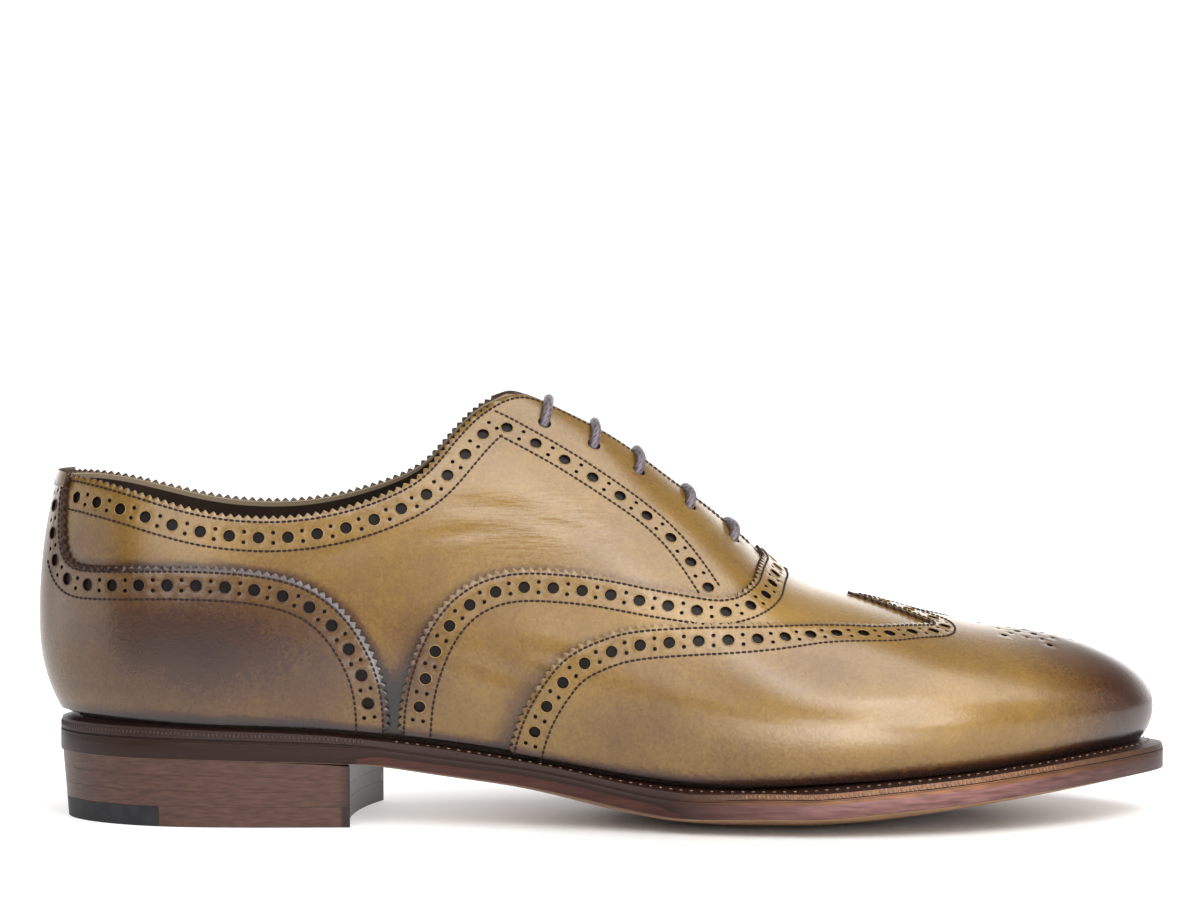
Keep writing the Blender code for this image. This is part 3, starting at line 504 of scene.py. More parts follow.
edges = {}
for side_sign in SIDES:
    drawn = {
        "wing": (front, wing_line(side_sign)),
        "vamp": (front, vamp_line(side_sign)),
        "counter": (back, counter_line(side_sign)),
        "facing": (back, table_line(back, side_sign, FACING_LINE)),
        "topline": (back, top_edge(side_sign, HEEL_PIVOT, TOPLINE_END_X, 160)),
        "slit": (back, top_edge(side_sign, SLIT_START_X, FACING_END_X, 90)),
    }
    for name, (board, line) in drawn.items():
        edges[name, side_sign] = even(board, line, EDGE_SPACING)
    tip = top_edge(side_sign, TURN_X, TURN_X, 1)[0]
    before, after = edges["topline", side_sign][-1], edges["slit", side_sign][0]
    edges["turn", side_sign] = corner(before, tip, after, TURN_ROUNDING)
print({"%s %d" % name: len(line) for name, line in edges.items()})

# %% [markdown]
# ## Bands of broguing
# Along each edge runs a band: a row of stitches just inside the gimped edge, a line of large punched holes
# with a pair of pinholes between them, and a second row of stitches. Each row is the edge moved inwards
# across the leather. Where an edge turns sharply the moved points would cross, so those that come too near
# it are dropped.

# %% Rows, holes and stitches of a band
STITCH_IN, HOLE_IN, STITCH_FAR = 1.25, 4.9, 8.6
TOPLINE_HOLE_IN, TOPLINE_FAR, FACING_OUT = 5.5, 9.1, 3.3
HOLE_PITCH, FACING_PITCH, PINHOLE_OUT = 7.8, 8.6, 1.4
HOLE_RADIUS, PINHOLE_RADIUS = 1.65, 0.58
STITCH_PITCH, ROW_SMOOTHING = 1.55, 16
HOLE_OVER_FOOT, PIN_OVER_FOOT = 3.2, 2.4
KEPT_SHARE, FACING_LONGER = 0.95, 9
OVERLAY_BANDS = (("wing", front, 1), ("vamp", front, 1), ("counter", back, -1))


def moved(board, line, distance, side):
    """A row on the leather beside a line; side tells which way is inwards."""
    points, normals = lay(board, line)
    along = unit(np.gradient(points, axis=0))
    inward = np.cross(normals, along) * side
    row = line + board_steps(board, line, inward * distance)
    row = row[nearest(lay(board, row)[0], points) > abs(distance) * KEPT_SHARE]
    for _ in range(ROW_SMOOTHING):
        row[1:-1] = (row[:-2] + 2 * row[1:-1] + row[2:]) / 4
    return row


def own_half(board, row, side):
    """The part of a row that stays on its own side of the ridge."""
    return row[board.lift(row)[0] == side]


def nearest(points, others):
    """The distance from each point to the nearest of the others."""
    found = np.empty(len(points))
    for start in range(0, len(points), 1000):
        block = points[start : start + 1000, None] - others[None]
        found[start : start + 1000] = np.sqrt((block**2).sum(-1).min(axis=1))
    return found


def above_foot(board, spots, height):
    """The spots that lie at least so high over the upper's lower edge."""
    points = lay(board, spots)[0]
    return spots[points[:, 2] - foot_z(points[:, 0]) > height]


def band(board, line, side, centre, rows=(STITCH_IN, STITCH_FAR), pitch=HOLE_PITCH):
    """Stitch rows beside a line, and large holes with pinholes between them along a centre line."""
    stitches = [even(board, moved(board, line, distance, side), STITCH_PITCH) for distance in rows]
    halves = even(board, centre, pitch / 2, 2)
    holes, middles = halves[::2], halves[1::2]
    points, normals = lay(board, middles)
    across = np.cross(normals, unit(np.gradient(points, axis=0)))
    pins = [middles + board_steps(board, middles, across * out) for out in (-PINHOLE_OUT, PINHOLE_OUT)]
    return {"stitches": stitches, "holes": above_foot(board, holes, HOLE_OVER_FOOT),
            "pins": above_foot(board, np.vstack(pins), PIN_OVER_FOOT)}


def gaps_between(board, row, line):
    """The distance on the leather from each point of a row to a line."""
    return nearest(lay(board, row)[0], lay(board, line)[0])


bands = {}
for side_sign in SIDES:
    for name, board, way_in in OVERLAY_BANDS:
        line = edges[name, side_sign]
        inwards = way_in * side_sign
        centre = moved(board, line, HOLE_IN, inwards)
        if board is front:
            centre = own_half(front, centre, side_sign)
        made = band(board, line, inwards, centre)
        if board is front:
            made["stitches"] = [own_half(front, row, side_sign) for row in made["stitches"]]
        bands[name, side_sign] = made
    facing, topline = edges["facing", side_sign], edges["topline", side_sign]
    further = (facing[:1] - facing[1:2]) * np.arange(FACING_LONGER, 0, -1)[:, None]
    longer = np.vstack([facing[:1] + further, facing])
    bands["facing", side_sign] = band(back, longer, side_sign, facing,
                                      (-FACING_OUT, FACING_OUT), FACING_PITCH)
    centre = moved(back, topline, TOPLINE_HOLE_IN, side_sign)
    meeting = np.argmin(gaps_between(back, centre, facing[:1]))
    centre = np.vstack([centre[: meeting - 4], facing[:1]])
    bands["topline", side_sign] = band(back, topline, side_sign, centre, (TOPLINE_FAR,))
    rim = np.vstack([topline, edges["turn", side_sign], edges["slit", side_sign]])
    bands["rim", side_sign] = {"stitches": [even(back, moved(back, rim, STITCH_IN, side_sign), STITCH_PITCH)]}
    rows = bands["facing", side_sign]["stitches"]
    rows.sort(key=lambda row: -lay(back, row)[0][0, 2])
    for number, start in enumerate((STITCH_IN, TOPLINE_FAR)):
        rows[number] = rows[number][gaps_between(back, rows[number], rim) > start]
    far_row = bands["topline", side_sign]["stitches"][0]
    bands["topline", side_sign]["stitches"][0] = far_row[gaps_between(back, far_row, longer) > FACING_OUT]
print({"%s %d" % name: len(made["holes"]) for name, made in bands.items() if "holes" in made}, "large holes")

# %% [markdown]
# ## Cutting a panel
# A panel is drawn as a ring on its board, with a ring for each hole, and filled with triangles that keep
# those rings. Laid on the last it becomes a closed piece of leather: grain side, flesh side, cut edge, and a
# shallow pit at every hole, whose floor and walls are painted dark as the shade of a deeper hole. Grain
# normals come from the last, so the polish stays smooth across the triangles.

# %% The panel cutter
GIMP_PITCH, GIMP_DEPTH = 2.3, 1.15
PIT_DEPTH, HOLE_ROUNDING, EDGE_ROUNDING = 0.75, 0.1, 0.45
GIMP_SHAPE = (-0.5, 0.08, 0.5, 0.08)
HOLE_POINTS, PINHOLE_POINTS, DEEPEST_PIT = 16, 9, 0.85
ROW_SHARE, BORDER_SHARE = 0.87, 0.55


def gimped(board, line, side):
    """An edge cut in small teeth that point outwards."""
    fine = even(board, line, GIMP_PITCH / len(GIMP_SHAPE))
    points, normals = lay(board, fine)
    outward = np.cross(unit(np.gradient(points, axis=0)), normals) * side
    teeth = np.array([GIMP_SHAPE[k % len(GIMP_SHAPE)] for k in range(len(fine))]) * GIMP_DEPTH
    return fine + board_steps(board, fine, outward * teeth[:, None])


def hole_ring(board, centre, radius, count):
    """Points of a round hole on the leather, as a ring on the board."""
    centre = np.asarray(centre, float)[None]
    spread = tangents(board, centre)[0]
    first, second = np.linalg.qr(spread)[0].T
    angles = np.arange(count) * 2 * np.pi / count
    moves = radius * (np.cos(angles)[:, None] * first + np.sin(angles)[:, None] * second)
    return centre + moves @ np.linalg.pinv(spread).T


def inside(points, ring):
    ax, ay = ring[:, 0], ring[:, 1]
    bx, by = np.roll(ax, -1), np.roll(ay, -1)
    rise = np.where(by == ay, 1e-12, by - ay)
    result = np.zeros(len(points), bool)
    for start in range(0, len(points), 2000):
        x, y = points[start : start + 2000, 0, None], points[start : start + 2000, 1, None]
        crosses = ((ay > y) != (by > y)) & (x < (bx - ax) * (y - ay) / rise + ax)
        result[start : start + 2000] = crosses.sum(axis=1) % 2 == 1
    return result


def fill_board(ring, hole_rings, spacing):
    """Triangles over a ring with its holes, and which ring each point belongs to."""
    low, high = ring.min(axis=0), ring.max(axis=0)
    x, y = np.meshgrid(np.arange(low[0], high[0], spacing),
                       np.arange(low[1], high[1], spacing * ROW_SHARE))
    x = x + (np.arange(len(x)) % 2)[:, None] * spacing / 2
    grid = np.stack([x.ravel(), y.ravel()], axis=1)
    grid = grid[inside(grid, ring)]
    borders = np.vstack([ring, *hole_rings])
    grid = grid[nearest(grid, borders) > spacing * BORDER_SHARE]
    for one in hole_rings:
        near = np.linalg.norm(grid - one.mean(axis=0), axis=1) < np.ptp(one, axis=0).max()
        near[near] = inside(grid[near], one)
        grid = grid[~near]
    owner = [np.zeros(len(ring), int)]
    links = [(k, (k + 1) % len(ring)) for k in range(len(ring))]
    start = len(ring)
    for number, one in enumerate(hole_rings, 1):
        owner.append(np.full(len(one), number))
        links += [(start + k, start + (k + 1) % len(one)) for k in range(len(one))]
        start += len(one)
    owner.append(np.full(len(grid), -1))
    owner = np.concatenate(owner)
    flat = [Vector(point) for point in np.vstack([borders, grid])]
    flat, _, faces, origins, _, _ = delaunay_2d_cdt(flat, links, [], 0, 1e-5)
    points = np.array([tuple(point) for point in flat])
    owner = np.array([owner[origin[0]] if origin else -1 for origin in origins])
    faces = np.array([tuple(face) for face in faces])
    faces = faces[inside(points[faces].mean(axis=1), ring)]
    return points, faces, owner


def border_links(faces):
    """The directed sides that only one triangle has."""
    sides = np.vstack([faces[:, [0, 1]], faces[:, [1, 2]], faces[:, [2, 0]]])
    known = {(a, b) for a, b in sides.tolist()}
    return [(a, b) for a, b in known if (b, a) not in known]


def new_piece(name, points, faces, materials, normals=None, kinds=None, marks=None):
    """A mesh object from millimetre points, with its own normals, face materials and point attributes."""
    mesh = bpy.data.meshes.new(name)
    mesh.from_pydata((np.asarray(points) * MM).tolist(), [], [tuple(face) for face in faces])
    for material in materials:
        mesh.materials.append(material)
    mesh.polygons.foreach_set("use_smooth", np.ones(len(mesh.polygons), bool))
    if kinds is not None:
        mesh.polygons.foreach_set("material_index", np.asarray(kinds, np.int32))
    for label, values in (marks or {}).items():
        field = mesh.attributes.new(label, "FLOAT", "POINT")
        field.data.foreach_set("value", np.asarray(values, np.float32))
    mesh.update()
    if normals is not None:
        mesh.normals_split_custom_set_from_vertices(np.asarray(normals, float).tolist())
    piece = bpy.data.objects.new(name, mesh)
    bpy.context.scene.collection.objects.link(piece)
    return piece


def crease_depth(points, creases):
    """How far creases move the leather.

    Each crease is (x, z, turn, length, width, depth), a trough between two ridges.
    """
    moved_by = np.zeros(len(points))
    for x, z, turn, length, width, depth in creases:
        angle = math.radians(turn)
        along = ((points[:, 0] - x) * math.cos(angle) + (points[:, 2] - z) * math.sin(angle)) / length
        across = ((points[:, 2] - z) * math.cos(angle) - (points[:, 0] - x) * math.sin(angle)) / width
        moved_by -= depth * (1 - across**2) * np.exp(-(across**2)) * np.exp(-((2 * along) ** 2))
    return moved_by


def creased(points, normals, creases):
    """Points moved by the creases, and normals that lean with them."""
    step = 0.3
    first = unit(np.cross(normals, [0.0, 0.0, 1.0]))
    second = np.cross(normals, first)
    lean = np.zeros_like(normals)
    for way in (first, second):
        rise = crease_depth(points + step * way, creases) - crease_depth(points - step * way, creases)
        lean -= rise[:, None] / (2 * step) * way
    return points + normals * crease_depth(points, creases)[:, None], unit(normals + lean)


def cut_panel(name, board, ring, holes, lift, thickness, materials, finish_of, spacing, creases=()):
    """A closed leather panel.

    Holes are (centre, radius) on the board, and finish_of gives the attributes of points.
    """
    hole_rings = [hole_ring(board, spot, radius, HOLE_POINTS if radius > 1 else PINHOLE_POINTS)
                  for spot, radius in holes]
    flat, faces, owner = fill_board(ring, hole_rings, spacing)
    place = board.lift(flat)
    base, normals = creased(last_point(*place), last_normal(*place), creases)
    first, second, third = (base[faces[:, k]] for k in range(3))
    facing = np.einsum("ij,ij->i", np.cross(second - first, third - first), normals[faces[:, 0]])
    faces = np.where((facing < 0)[:, None], faces[:, ::-1], faces)
    corner_owner = owner[faces]
    in_hole = (corner_owner[:, 0] > 0) & (corner_owner == corner_owner[:, :1]).all(axis=1)
    grain, pits = faces[~in_hole], faces[in_hole]
    count = len(flat)
    lean, soft = np.zeros((count, 3)), np.full((count, 1), EDGE_ROUNDING)
    if hole_rings:
        middle = lay(board, np.array([one.mean(axis=0) for one in hole_rings]))[0]
        on_hole = owner > 0
        lean[on_hole] = unit(middle[owner[on_hole] - 1] - base[on_hole])
        soft[on_hole] = HOLE_ROUNDING
    rim = border_links(faces)
    for a, b in rim:
        out = np.cross(base[b] - base[a], normals[a])
        out = out / max(np.linalg.norm(out), 1e-9) * 0.5
        lean[a] += out
        lean[b] += out
    lean[place[2] < OVERLAY_FOOT + 0.02] = 0
    top = base + normals * lift
    floor = base + normals * (lift - min(PIT_DEPTH, thickness * DEEPEST_PIT))
    flesh = base + normals * (lift - thickness)
    blocks = [top, floor, top, floor, top, flesh, flesh]
    block_normals = [unit(normals + lean * soft), normals, lean, lean, lean, lean, -normals]
    pit_walls = [(b + 2 * count, a + 2 * count, a + 3 * count, b + 3 * count)
                 for a, b in border_links(grain) if owner[a] > 0]
    edge_walls = [(b + 4 * count, a + 4 * count, a + 5 * count, b + 5 * count) for a, b in rim]
    # Pit floors and walls take the second material, painted dark as the shade inside a deeper hole.
    groups = ((grain.tolist(), 0), ((pits + count).tolist(), 1), (pit_walls, 1), (edge_walls, 2),
              ((faces[:, ::-1] + 6 * count).tolist(), 3))
    all_faces = [tuple(face) for group, _ in groups for face in group]
    kinds = np.concatenate([np.full(len(group), kind) for group, kind in groups])
    marks = {label: np.tile(values, len(blocks)) for label, values in finish_of(base).items()}
    points, normal_rows = np.vstack(blocks), np.vstack(block_normals)
    used = np.zeros(len(points), bool)
    for face in all_faces:
        used[list(face)] = True
    renumber = np.cumsum(used) - 1
    all_faces = [tuple(int(renumber[k]) for k in face) for face in all_faces]
    marks = {label: values[used] for label, values in marks.items()}
    return new_piece(name, points[used], all_faces, materials, unit(normal_rows[used]), kinds, marks)


print("panel cutter ready: pits", PIT_DEPTH, "mm deep, gimping every", GIMP_PITCH, "mm")

# %% [markdown]
# ## Colours and nodes
# Colours are written as sRGB hex codes, as a colour picker shows them, and turned into the linear values
# that Blender mixes. One helper adds any node to any tree, so that a material reads as a list of what it is
# made of.

# %% Helpers for materials


def colour(code):
    """A linear colour from an sRGB hex code."""
    channels = [int(code[i : i + 2], 16) / 255 for i in (1, 3, 5)]
    return tuple(c / 12.92 if c <= 0.04045 else ((c + 0.055) / 1.055) ** 2.4 for c in channels) + (1.0,)


def node(tree, kind, inputs=None, stops=(), **settings):
    """Adds a node, sets it up, and links or fills its inputs; stops are a colour ramp's places and codes."""
    made = tree.nodes.new(kind)
    for name, value in settings.items():
        setattr(made, name, value)
    for name, value in (inputs or {}).items():
        if isinstance(value, bpy.types.NodeSocket):
            tree.links.new(value, made.inputs[name])
        else:
            made.inputs[name].default_value = value
    for number, (position, code) in enumerate(stops):
        marks = made.color_ramp.elements
        mark = marks[number] if number < 2 else marks.new(position)
        mark.position = position
        mark.color = colour(code)
    return made


def new_material(name, roughness, coat=0.0, coat_roughness=0.1, sheen=0.5):
    """A material with its tree and shader, and the constants that stay the same all over."""
    material = bpy.data.materials.new(name)
    material.use_nodes = True
    shader = material.node_tree.nodes["Principled BSDF"]
    shader.inputs["Roughness"].default_value = roughness
    shader.inputs["Specular IOR Level"].default_value = sheen
    shader.inputs["Coat Weight"].default_value = coat
    shader.inputs["Coat Roughness"].default_value = coat_roughness
    return material, material.node_tree, shader


print("sRGB mid grey is linear", round(colour("#808080")[0], 4))

# %% [markdown]
# ## Calf, dyed olive tan and burnished by hand
# Box calf is a smooth, close-grained leather. The maker dyes it a light olive tan and rubs dark polish into
# the toe, the heel and along the seams. Where the polish goes is worked out for each panel and kept in an
# attribute together with painted light: painted shade beside the overlays and in the crease above the welt,
# and painted highlights and shade in a few soft patches. The material turns that into colour, adds clouds
# where the sponge passed, a fine grain and a wax coat.

# %% Calf, lining and thread
CLOUD, FLECK, GRAIN, WRINKLE = 17.0, 2.6, 0.85, 1.1
TONE_CLOUDS = ((CLOUD, 0.28), (FLECK, 0.12), (GRAIN, 0.34))
CALF_STOPS = (
    (0.0, "#7E612E"),
    (1.0, "#100906"),
    (0.22, "#674D20"),
    (0.42, "#4C3315"),
    (0.62, "#321A0B"),
    (0.82, "#1F0F09"),
)
EDGE_STRIP = (1.05, 1.35)
WAX_SHEEN, COAT_ROUGHNESS, GLOSS_CLOUDS = 0.62, 0.25, 0.16
FOLD_STRETCH, FOLD_HEIGHT = (0.16, 0.5, 1.0), 5.0


def calf(name, roughness, coat, grain_height, edge_tone):
    """Aniline calf under wax: the grain breaks up the gloss, the coat gives a second, sharper shine."""
    material, tree, shader = new_material(name, roughness, coat, COAT_ROUGHNESS, WAX_SHEEN)
    place = node(tree, "ShaderNodeTexCoord").outputs["Object"]
    # This attribute holds the burnish together with painted shade and painted highlights.
    tone = node(tree, "ShaderNodeAttribute", attribute_name="burnish_and_painted_light").outputs["Fac"]
    clouds = {}
    for size, amount in TONE_CLOUDS:
        cloud = node(tree, "ShaderNodeTexNoise", {"Vector": place, "Scale": 1 / (size * MM), "Detail": 4.0})
        clouds[size] = node(tree, "ShaderNodeMath", {0: cloud.outputs["Fac"], 1: 0.5},
                            operation="SUBTRACT").outputs[0]
        tone = node(tree, "ShaderNodeMath", {0: clouds[size], 1: amount, 2: tone},
                    operation="MULTIPLY_ADD").outputs[0]
    away = node(tree, "ShaderNodeAttribute", attribute_name="from_edge").outputs["Fac"]
    strip = node(tree, "ShaderNodeMapRange", {
        "Value": away, "From Min": EDGE_STRIP[0], "From Max": EDGE_STRIP[1],
        "To Min": edge_tone, "To Max": 0.0}).outputs["Result"]
    tone = node(tree, "ShaderNodeMath", {0: tone, 1: strip}, operation="ADD").outputs[0]
    dye = node(tree, "ShaderNodeValToRGB", {"Fac": tone}, CALF_STOPS)
    tree.links.new(dye.outputs["Color"], shader.inputs["Base Color"])
    drawn_out = node(tree, "ShaderNodeMapping", {"Vector": place, "Scale": FOLD_STRETCH}).outputs["Vector"]
    lines = node(tree, "ShaderNodeTexNoise",
                 {"Vector": drawn_out, "Scale": 1 / (WRINKLE * MM), "Detail": 3.0})
    amount = node(tree, "ShaderNodeAttribute", attribute_name="wrinkle").outputs["Fac"]
    folds = node(tree, "ShaderNodeMath", {0: lines.outputs["Fac"], 1: amount},
                 operation="MULTIPLY").outputs[0]
    relief = node(tree, "ShaderNodeMath", {0: folds, 1: FOLD_HEIGHT, 2: clouds[GRAIN]},
                  operation="MULTIPLY_ADD").outputs[0]
    bump = node(tree, "ShaderNodeBump", {"Height": relief, "Strength": 0.6, "Distance": grain_height * MM})
    tree.links.new(bump.outputs["Normal"], shader.inputs["Normal"])
    gloss = node(tree, "ShaderNodeMath", {0: clouds[CLOUD], 1: GLOSS_CLOUDS, 2: roughness},
                 operation="MULTIPLY_ADD")
    tree.links.new(gloss.outputs[0], shader.inputs["Roughness"])
    return material


def plain(name, code, other, size, roughness, sheen=0.3, height=0.03, stretch=(1, 1, 1), blend=None):
    """A material that wanders between two colours, in streaks if stretched.

    Blend, where given, is the name of an attribute and the colour that it mixes in.
    """
    material, tree, shader = new_material(name, roughness, sheen=sheen)
    place = node(tree, "ShaderNodeTexCoord").outputs["Object"]
    place = node(tree, "ShaderNodeMapping", {"Vector": place, "Scale": stretch}).outputs["Vector"]
    cloud = node(tree, "ShaderNodeTexNoise", {"Vector": place, "Scale": 1 / (size * MM), "Detail": 6.0})
    tint = node(tree, "ShaderNodeValToRGB", {"Fac": cloud.outputs["Fac"]},
                ((0.3, code), (0.7, other))).outputs["Color"]
    if blend:
        share = node(tree, "ShaderNodeAttribute", attribute_name=blend[0]).outputs["Fac"]
        tint = node(tree, "ShaderNodeMix", {0: share, 6: tint, 7: colour(blend[1])},
                    data_type="RGBA").outputs[2]
    tree.links.new(tint, shader.inputs["Base Color"])
    bump = node(tree, "ShaderNodeBump",
                {"Height": cloud.outputs["Fac"], "Strength": 0.4, "Distance": height * MM})
    tree.links.new(bump.outputs["Normal"], shader.inputs["Normal"])
    return material


calf_leather = calf("wax_polished_calf", 0.26, 0.05, 0.08, 0.06)
dark_calf = calf("burnished_wax_polished_calf", 0.26, 0.05, 0.08, 0.4)
# Near black: painted shade for the floor and walls of a punched hole.
painted_shade_in_holes = plain("painted_shade_in_punched_holes", "#0C0908", "#191312", 1.0, 0.35, 0.12)
# Painted dark for the shade inside the shoe, and lighter at the marked top edge, where light reaches it.
lining_leather = plain("vegetable_tanned_lining_in_painted_shade", "#1E140D", "#2A1D15", 6.0, 0.75, 0.2,
                       blend=("edge", "#857661"))
edge_ink = plain("inked_cut_edge", "#2A1D16", "#3D2C22", 1.5, 0.5, 0.2)
thread = plain("waxed_linen_thread", "#1B1211", "#2B1D1B", 1.2, 0.7, 0.15)
flesh_side = plain("suede_back_of_the_calf", "#64564A", "#7A6B5C", 1.5, 0.8, 0.1)
dark_rim = plain("burnished_rim_of_a_hole", "#34241B", "#4A3629", 1.0, 0.4, 0.4)
PANEL_FINISH = (calf_leather, painted_shade_in_holes, edge_ink, flesh_side)
COUNTER_FINISH = (dark_calf,) + PANEL_FINISH[1:]
print("materials:", [material.name for material in (calf_leather, painted_shade_in_holes, lining_leather, thread)])

# %% [markdown]
# ## Where the polish and the painted light go
# Dark polish gathers at the toe and at the back of the heel. The band just above the welt is polish and
# painted shade in the crease, the darkening beside the edges of the panels that lie on top is painted shade
# with some polish on the seams, and a table of soft patches adds burnish as well as painted highlights and
# painted shade. Each share is a smooth fall-off over a real distance, and the sum is the panel's burnish and
# painted light.

# %% Burnish and painted light
TOE_TIP = np.array([151.0, 6.0, 28.0])
# FOOT_TONE darkens the band above the welt: burnish, and painted shade in the crease where the upper meets
# the welt.
BASE_TONE, FOOT_TONE, TOE_TONE = 0.22, 0.7, 0.44
TOE_FADE, FOOT_FADE = (56, 16), (5.2, 1.5)
SHADOW_FADE, SHADOW_REACH, SHADOW_GROWTH, CLOSE_FADE = (56, 34), 3.5, 4.0, (2.1, 0.6)
# Soft patches of tone, darker where the amount is positive: some are burnish of the dye, the rest painted
# highlights and painted shade, as noted row by row.
PATINA_AND_PAINTED_LIGHT = (
    ("x", "z", "reach_x", "reach_z", "amount"),
    # Burnish of the dye, strongest in the middle of the heel counter.
    (-113.0, 50.0, 29.0, 15.0, 0.40),
    # Painted shade in the narrow wedge of quarter between the counter and the vamp.
    (-49.0, 42.0, 8.0, 15.0, 0.24),
    # Painted highlights on the top of the vamp, where the overhead light falls.
    (56.0, 57.0, 24.0, 6.0, -0.18),
    (20.0, 56.0, 20.0, 4.0, -0.12),
    # Burnish of the dye at the counter's front and near the back seam.
    (-84.0, 44.0, 26.0, 18.0, 0.16),
    (-140.0, 76.0, 14.0, 9.0, 0.10),
    # Painted highlights on the back and the front of the quarter.
    (-106.0, 76.0, 22.0, 6.0, -0.07),
    (-22.0, 92.0, 22.0, 9.0, -0.06),
    # Painted shade in the crease at the rear of the vamp.
    (-31.0, 43.0, 16.0, 8.0, 0.06),
    # Painted shade along the lower wing, a dark band between its reflections.
    (8.0, 30.0, 22.0, 8.0, 0.10),
    (34.0, 22.0, 20.0, 7.0, 0.08),
    # Painted highlights on the middle and the front of the wing's side, where it mirrors the bright floor.
    (70.0, 30.0, 28.0, 9.0, -0.10),
    (100.0, 34.0, 16.0, 10.0, -0.06),
    # A painted dark reflection band along the wing's side.
    (60.0, 42.0, 40.0, 4.5, 0.05),
)
patina_and_painted_light = columns(PATINA_AND_PAINTED_LIGHT)


def fade(value, start, end):
    """0 at start, 1 at end, smooth between; start may be the larger."""
    share = np.clip((value - start) / (end - start), 0, 1)
    return share * share * (3 - 2 * share)


def polish_and_painted_light(points, toe=0.0):
    """The tone from soft patches, burnish and painted light, from the burnished toe, and from the band above
    the welt, burnish and painted shade.
    """
    tone = np.full(len(points), BASE_TONE)
    for x, z, reach_x, reach_z, amount in zip(*patina_and_painted_light.values()):
        tone += amount * np.exp(-(((points[:, 0] - x) / reach_x) ** 2) - ((points[:, 2] - z) / reach_z) ** 2)
    tone += toe * fade(np.linalg.norm(points - TOE_TIP, axis=1), *TOE_FADE)
    # The band above the welt: burnish, and painted shade in the crease where the upper meets the welt.
    return tone + FOOT_TONE * fade(points[:, 2] - foot_z(points[:, 0]), *FOOT_FADE)


def from_edge(points, board, names, sides=SIDES):
    """The distance to a panel's own edges, which tells the material where the first stitches run."""
    lines = [edges[name, side] for name in names for side in sides]
    return nearest(points, lay(board, np.vstack(lines))[0])


def shadow(points, board, line, amount, close):
    """Painted shade beside an overlay, with some polish on the seam: a broad part that grows towards the
    welt, and a narrow one at the edge.
    """
    low = fade(points[:, 2], *SHADOW_FADE)
    away = nearest(points, lay(board, line)[0])
    broad = amount * low * fade(away, SHADOW_REACH + SHADOW_GROWTH * low, 0)
    return broad + close * fade(away, *CLOSE_FADE)


def finish(tone, away, wrinkle=0.0):
    return {"burnish_and_painted_light": np.clip(tone, 0, 1), "from_edge": away, "wrinkle": np.broadcast_to(wrinkle, len(tone))}


print("burnish at the toe's tip:", np.round(polish_and_painted_light(TOE_TIP[None], TOE_TONE), 2))

# %% [markdown]
# ## The quarters
# The two quarters make the back of the shoe and end in the facings that carry the eyelets. Their top edges
# are gimped and punched. Walking has folded them below the eyelets, so a few soft troughs, listed one by one,
# are laid there.

# %% Quarters
QUARTER_THICKNESS, QUARTER_FOOT = 1.0, -0.95
EYELET_X, EYELET_FROM_RIDGE, EYELET_RADIUS = (-14.4, -2.0, 9.4, 22.6, 34.0), 10.6, 1.9
UNDERLAP, QUARTER_EDGE = 8.0, 1.18
WORN_AT, WORN_REACH = (-16.0, 83.0), (26.0, 9.0)
VAMP_SHADOW, COUNTER_SHADOW = (0.42, 0.14), (0.42, 0.3)
HOLE_CLEAR, PIN_CLEAR, HOLES_APART, QUARTER_GRID = 2.6, 1.6, 0.5, 1.6
QUARTER_CREASES = (
    (-27.0, 86.0, -5.0, 26.0, 3.0, 0.34),
    (-10.0, 80.5, -12.0, 22.0, 2.6, 0.28),
    (-36.0, 79.5, 6.0, 18.0, 2.4, 0.22),
    (3.0, 84.0, -28.0, 14.0, 2.4, 0.18),
    (-72.0, 74.0, 18.0, 24.0, 4.0, 0.20),
)


def across_boards(line, side):
    """A line of one side drawn on the front board carried over to the back board."""
    _, t, v = front.lift(line)
    return back.flat(side, t, v)


def quarter_ring(side):
    top = gimped(back, edges["topline", side], side)
    facing = np.vstack([edges["turn", side], top_edge(side, SLIT_START_X, FACING_END_X, 90)])
    hidden = across_boards(moved(front, edges["vamp", side], UNDERLAP, side), side)[::-3]
    foot_t = np.linspace(abs(hidden[-1, 0]) / BACK_SCALE, 0, 80)
    foot = back.flat(side, foot_t, QUARTER_FOOT)
    seam = back.flat(side, 0.0, np.linspace(QUARTER_FOOT, float(top_v(side, 0.0)), 26)[1:-1])
    return np.vstack([top, facing, hidden, foot, seam])


def eyelet_spots(side):
    t = t_at_spine(np.array(EYELET_X))
    return back.flat(side, t, v_at_reach(side, t, EYELET_FROM_RIDGE))


def clear_spots(board, spots, lines, distance):
    """The spots that keep a distance from every line given."""
    return spots[nearest(lay(board, spots)[0], lay(board, np.vstack(lines))[0]) > distance]


def sized(spots, radius):
    return [(spot, radius) for spot in spots]


def apart(holes, board):
    """The holes in order, without any that would run into one already kept."""
    points = lay(board, np.array([spot for spot, _ in holes]))[0]
    kept = []
    for number, (_, radius) in enumerate(holes):
        clear = [np.linalg.norm(points[number] - points[k]) > radius + holes[k][1] + HOLES_APART
                 for k in kept]
        if all(clear):
            kept.append(number)
    return [holes[number] for number in kept]


quarter_holes = {}
for side_sign in SIDES:
    strip = edges["counter", side_sign][-40:]
    facing_row = edges["facing", side_sign]
    top_holes = clear_spots(back, bands["topline", side_sign]["holes"], [strip], HOLE_CLEAR)
    top_pins = clear_spots(back, bands["topline", side_sign]["pins"], [strip, facing_row], PIN_CLEAR)
    quarter_holes[side_sign] = apart(
        sized(eyelet_spots(side_sign), EYELET_RADIUS)
        + sized(bands["facing", side_sign]["holes"], HOLE_RADIUS) + sized(top_holes, HOLE_RADIUS)
        + sized(bands["facing", side_sign]["pins"], PINHOLE_RADIUS) + sized(top_pins, PINHOLE_RADIUS), back)


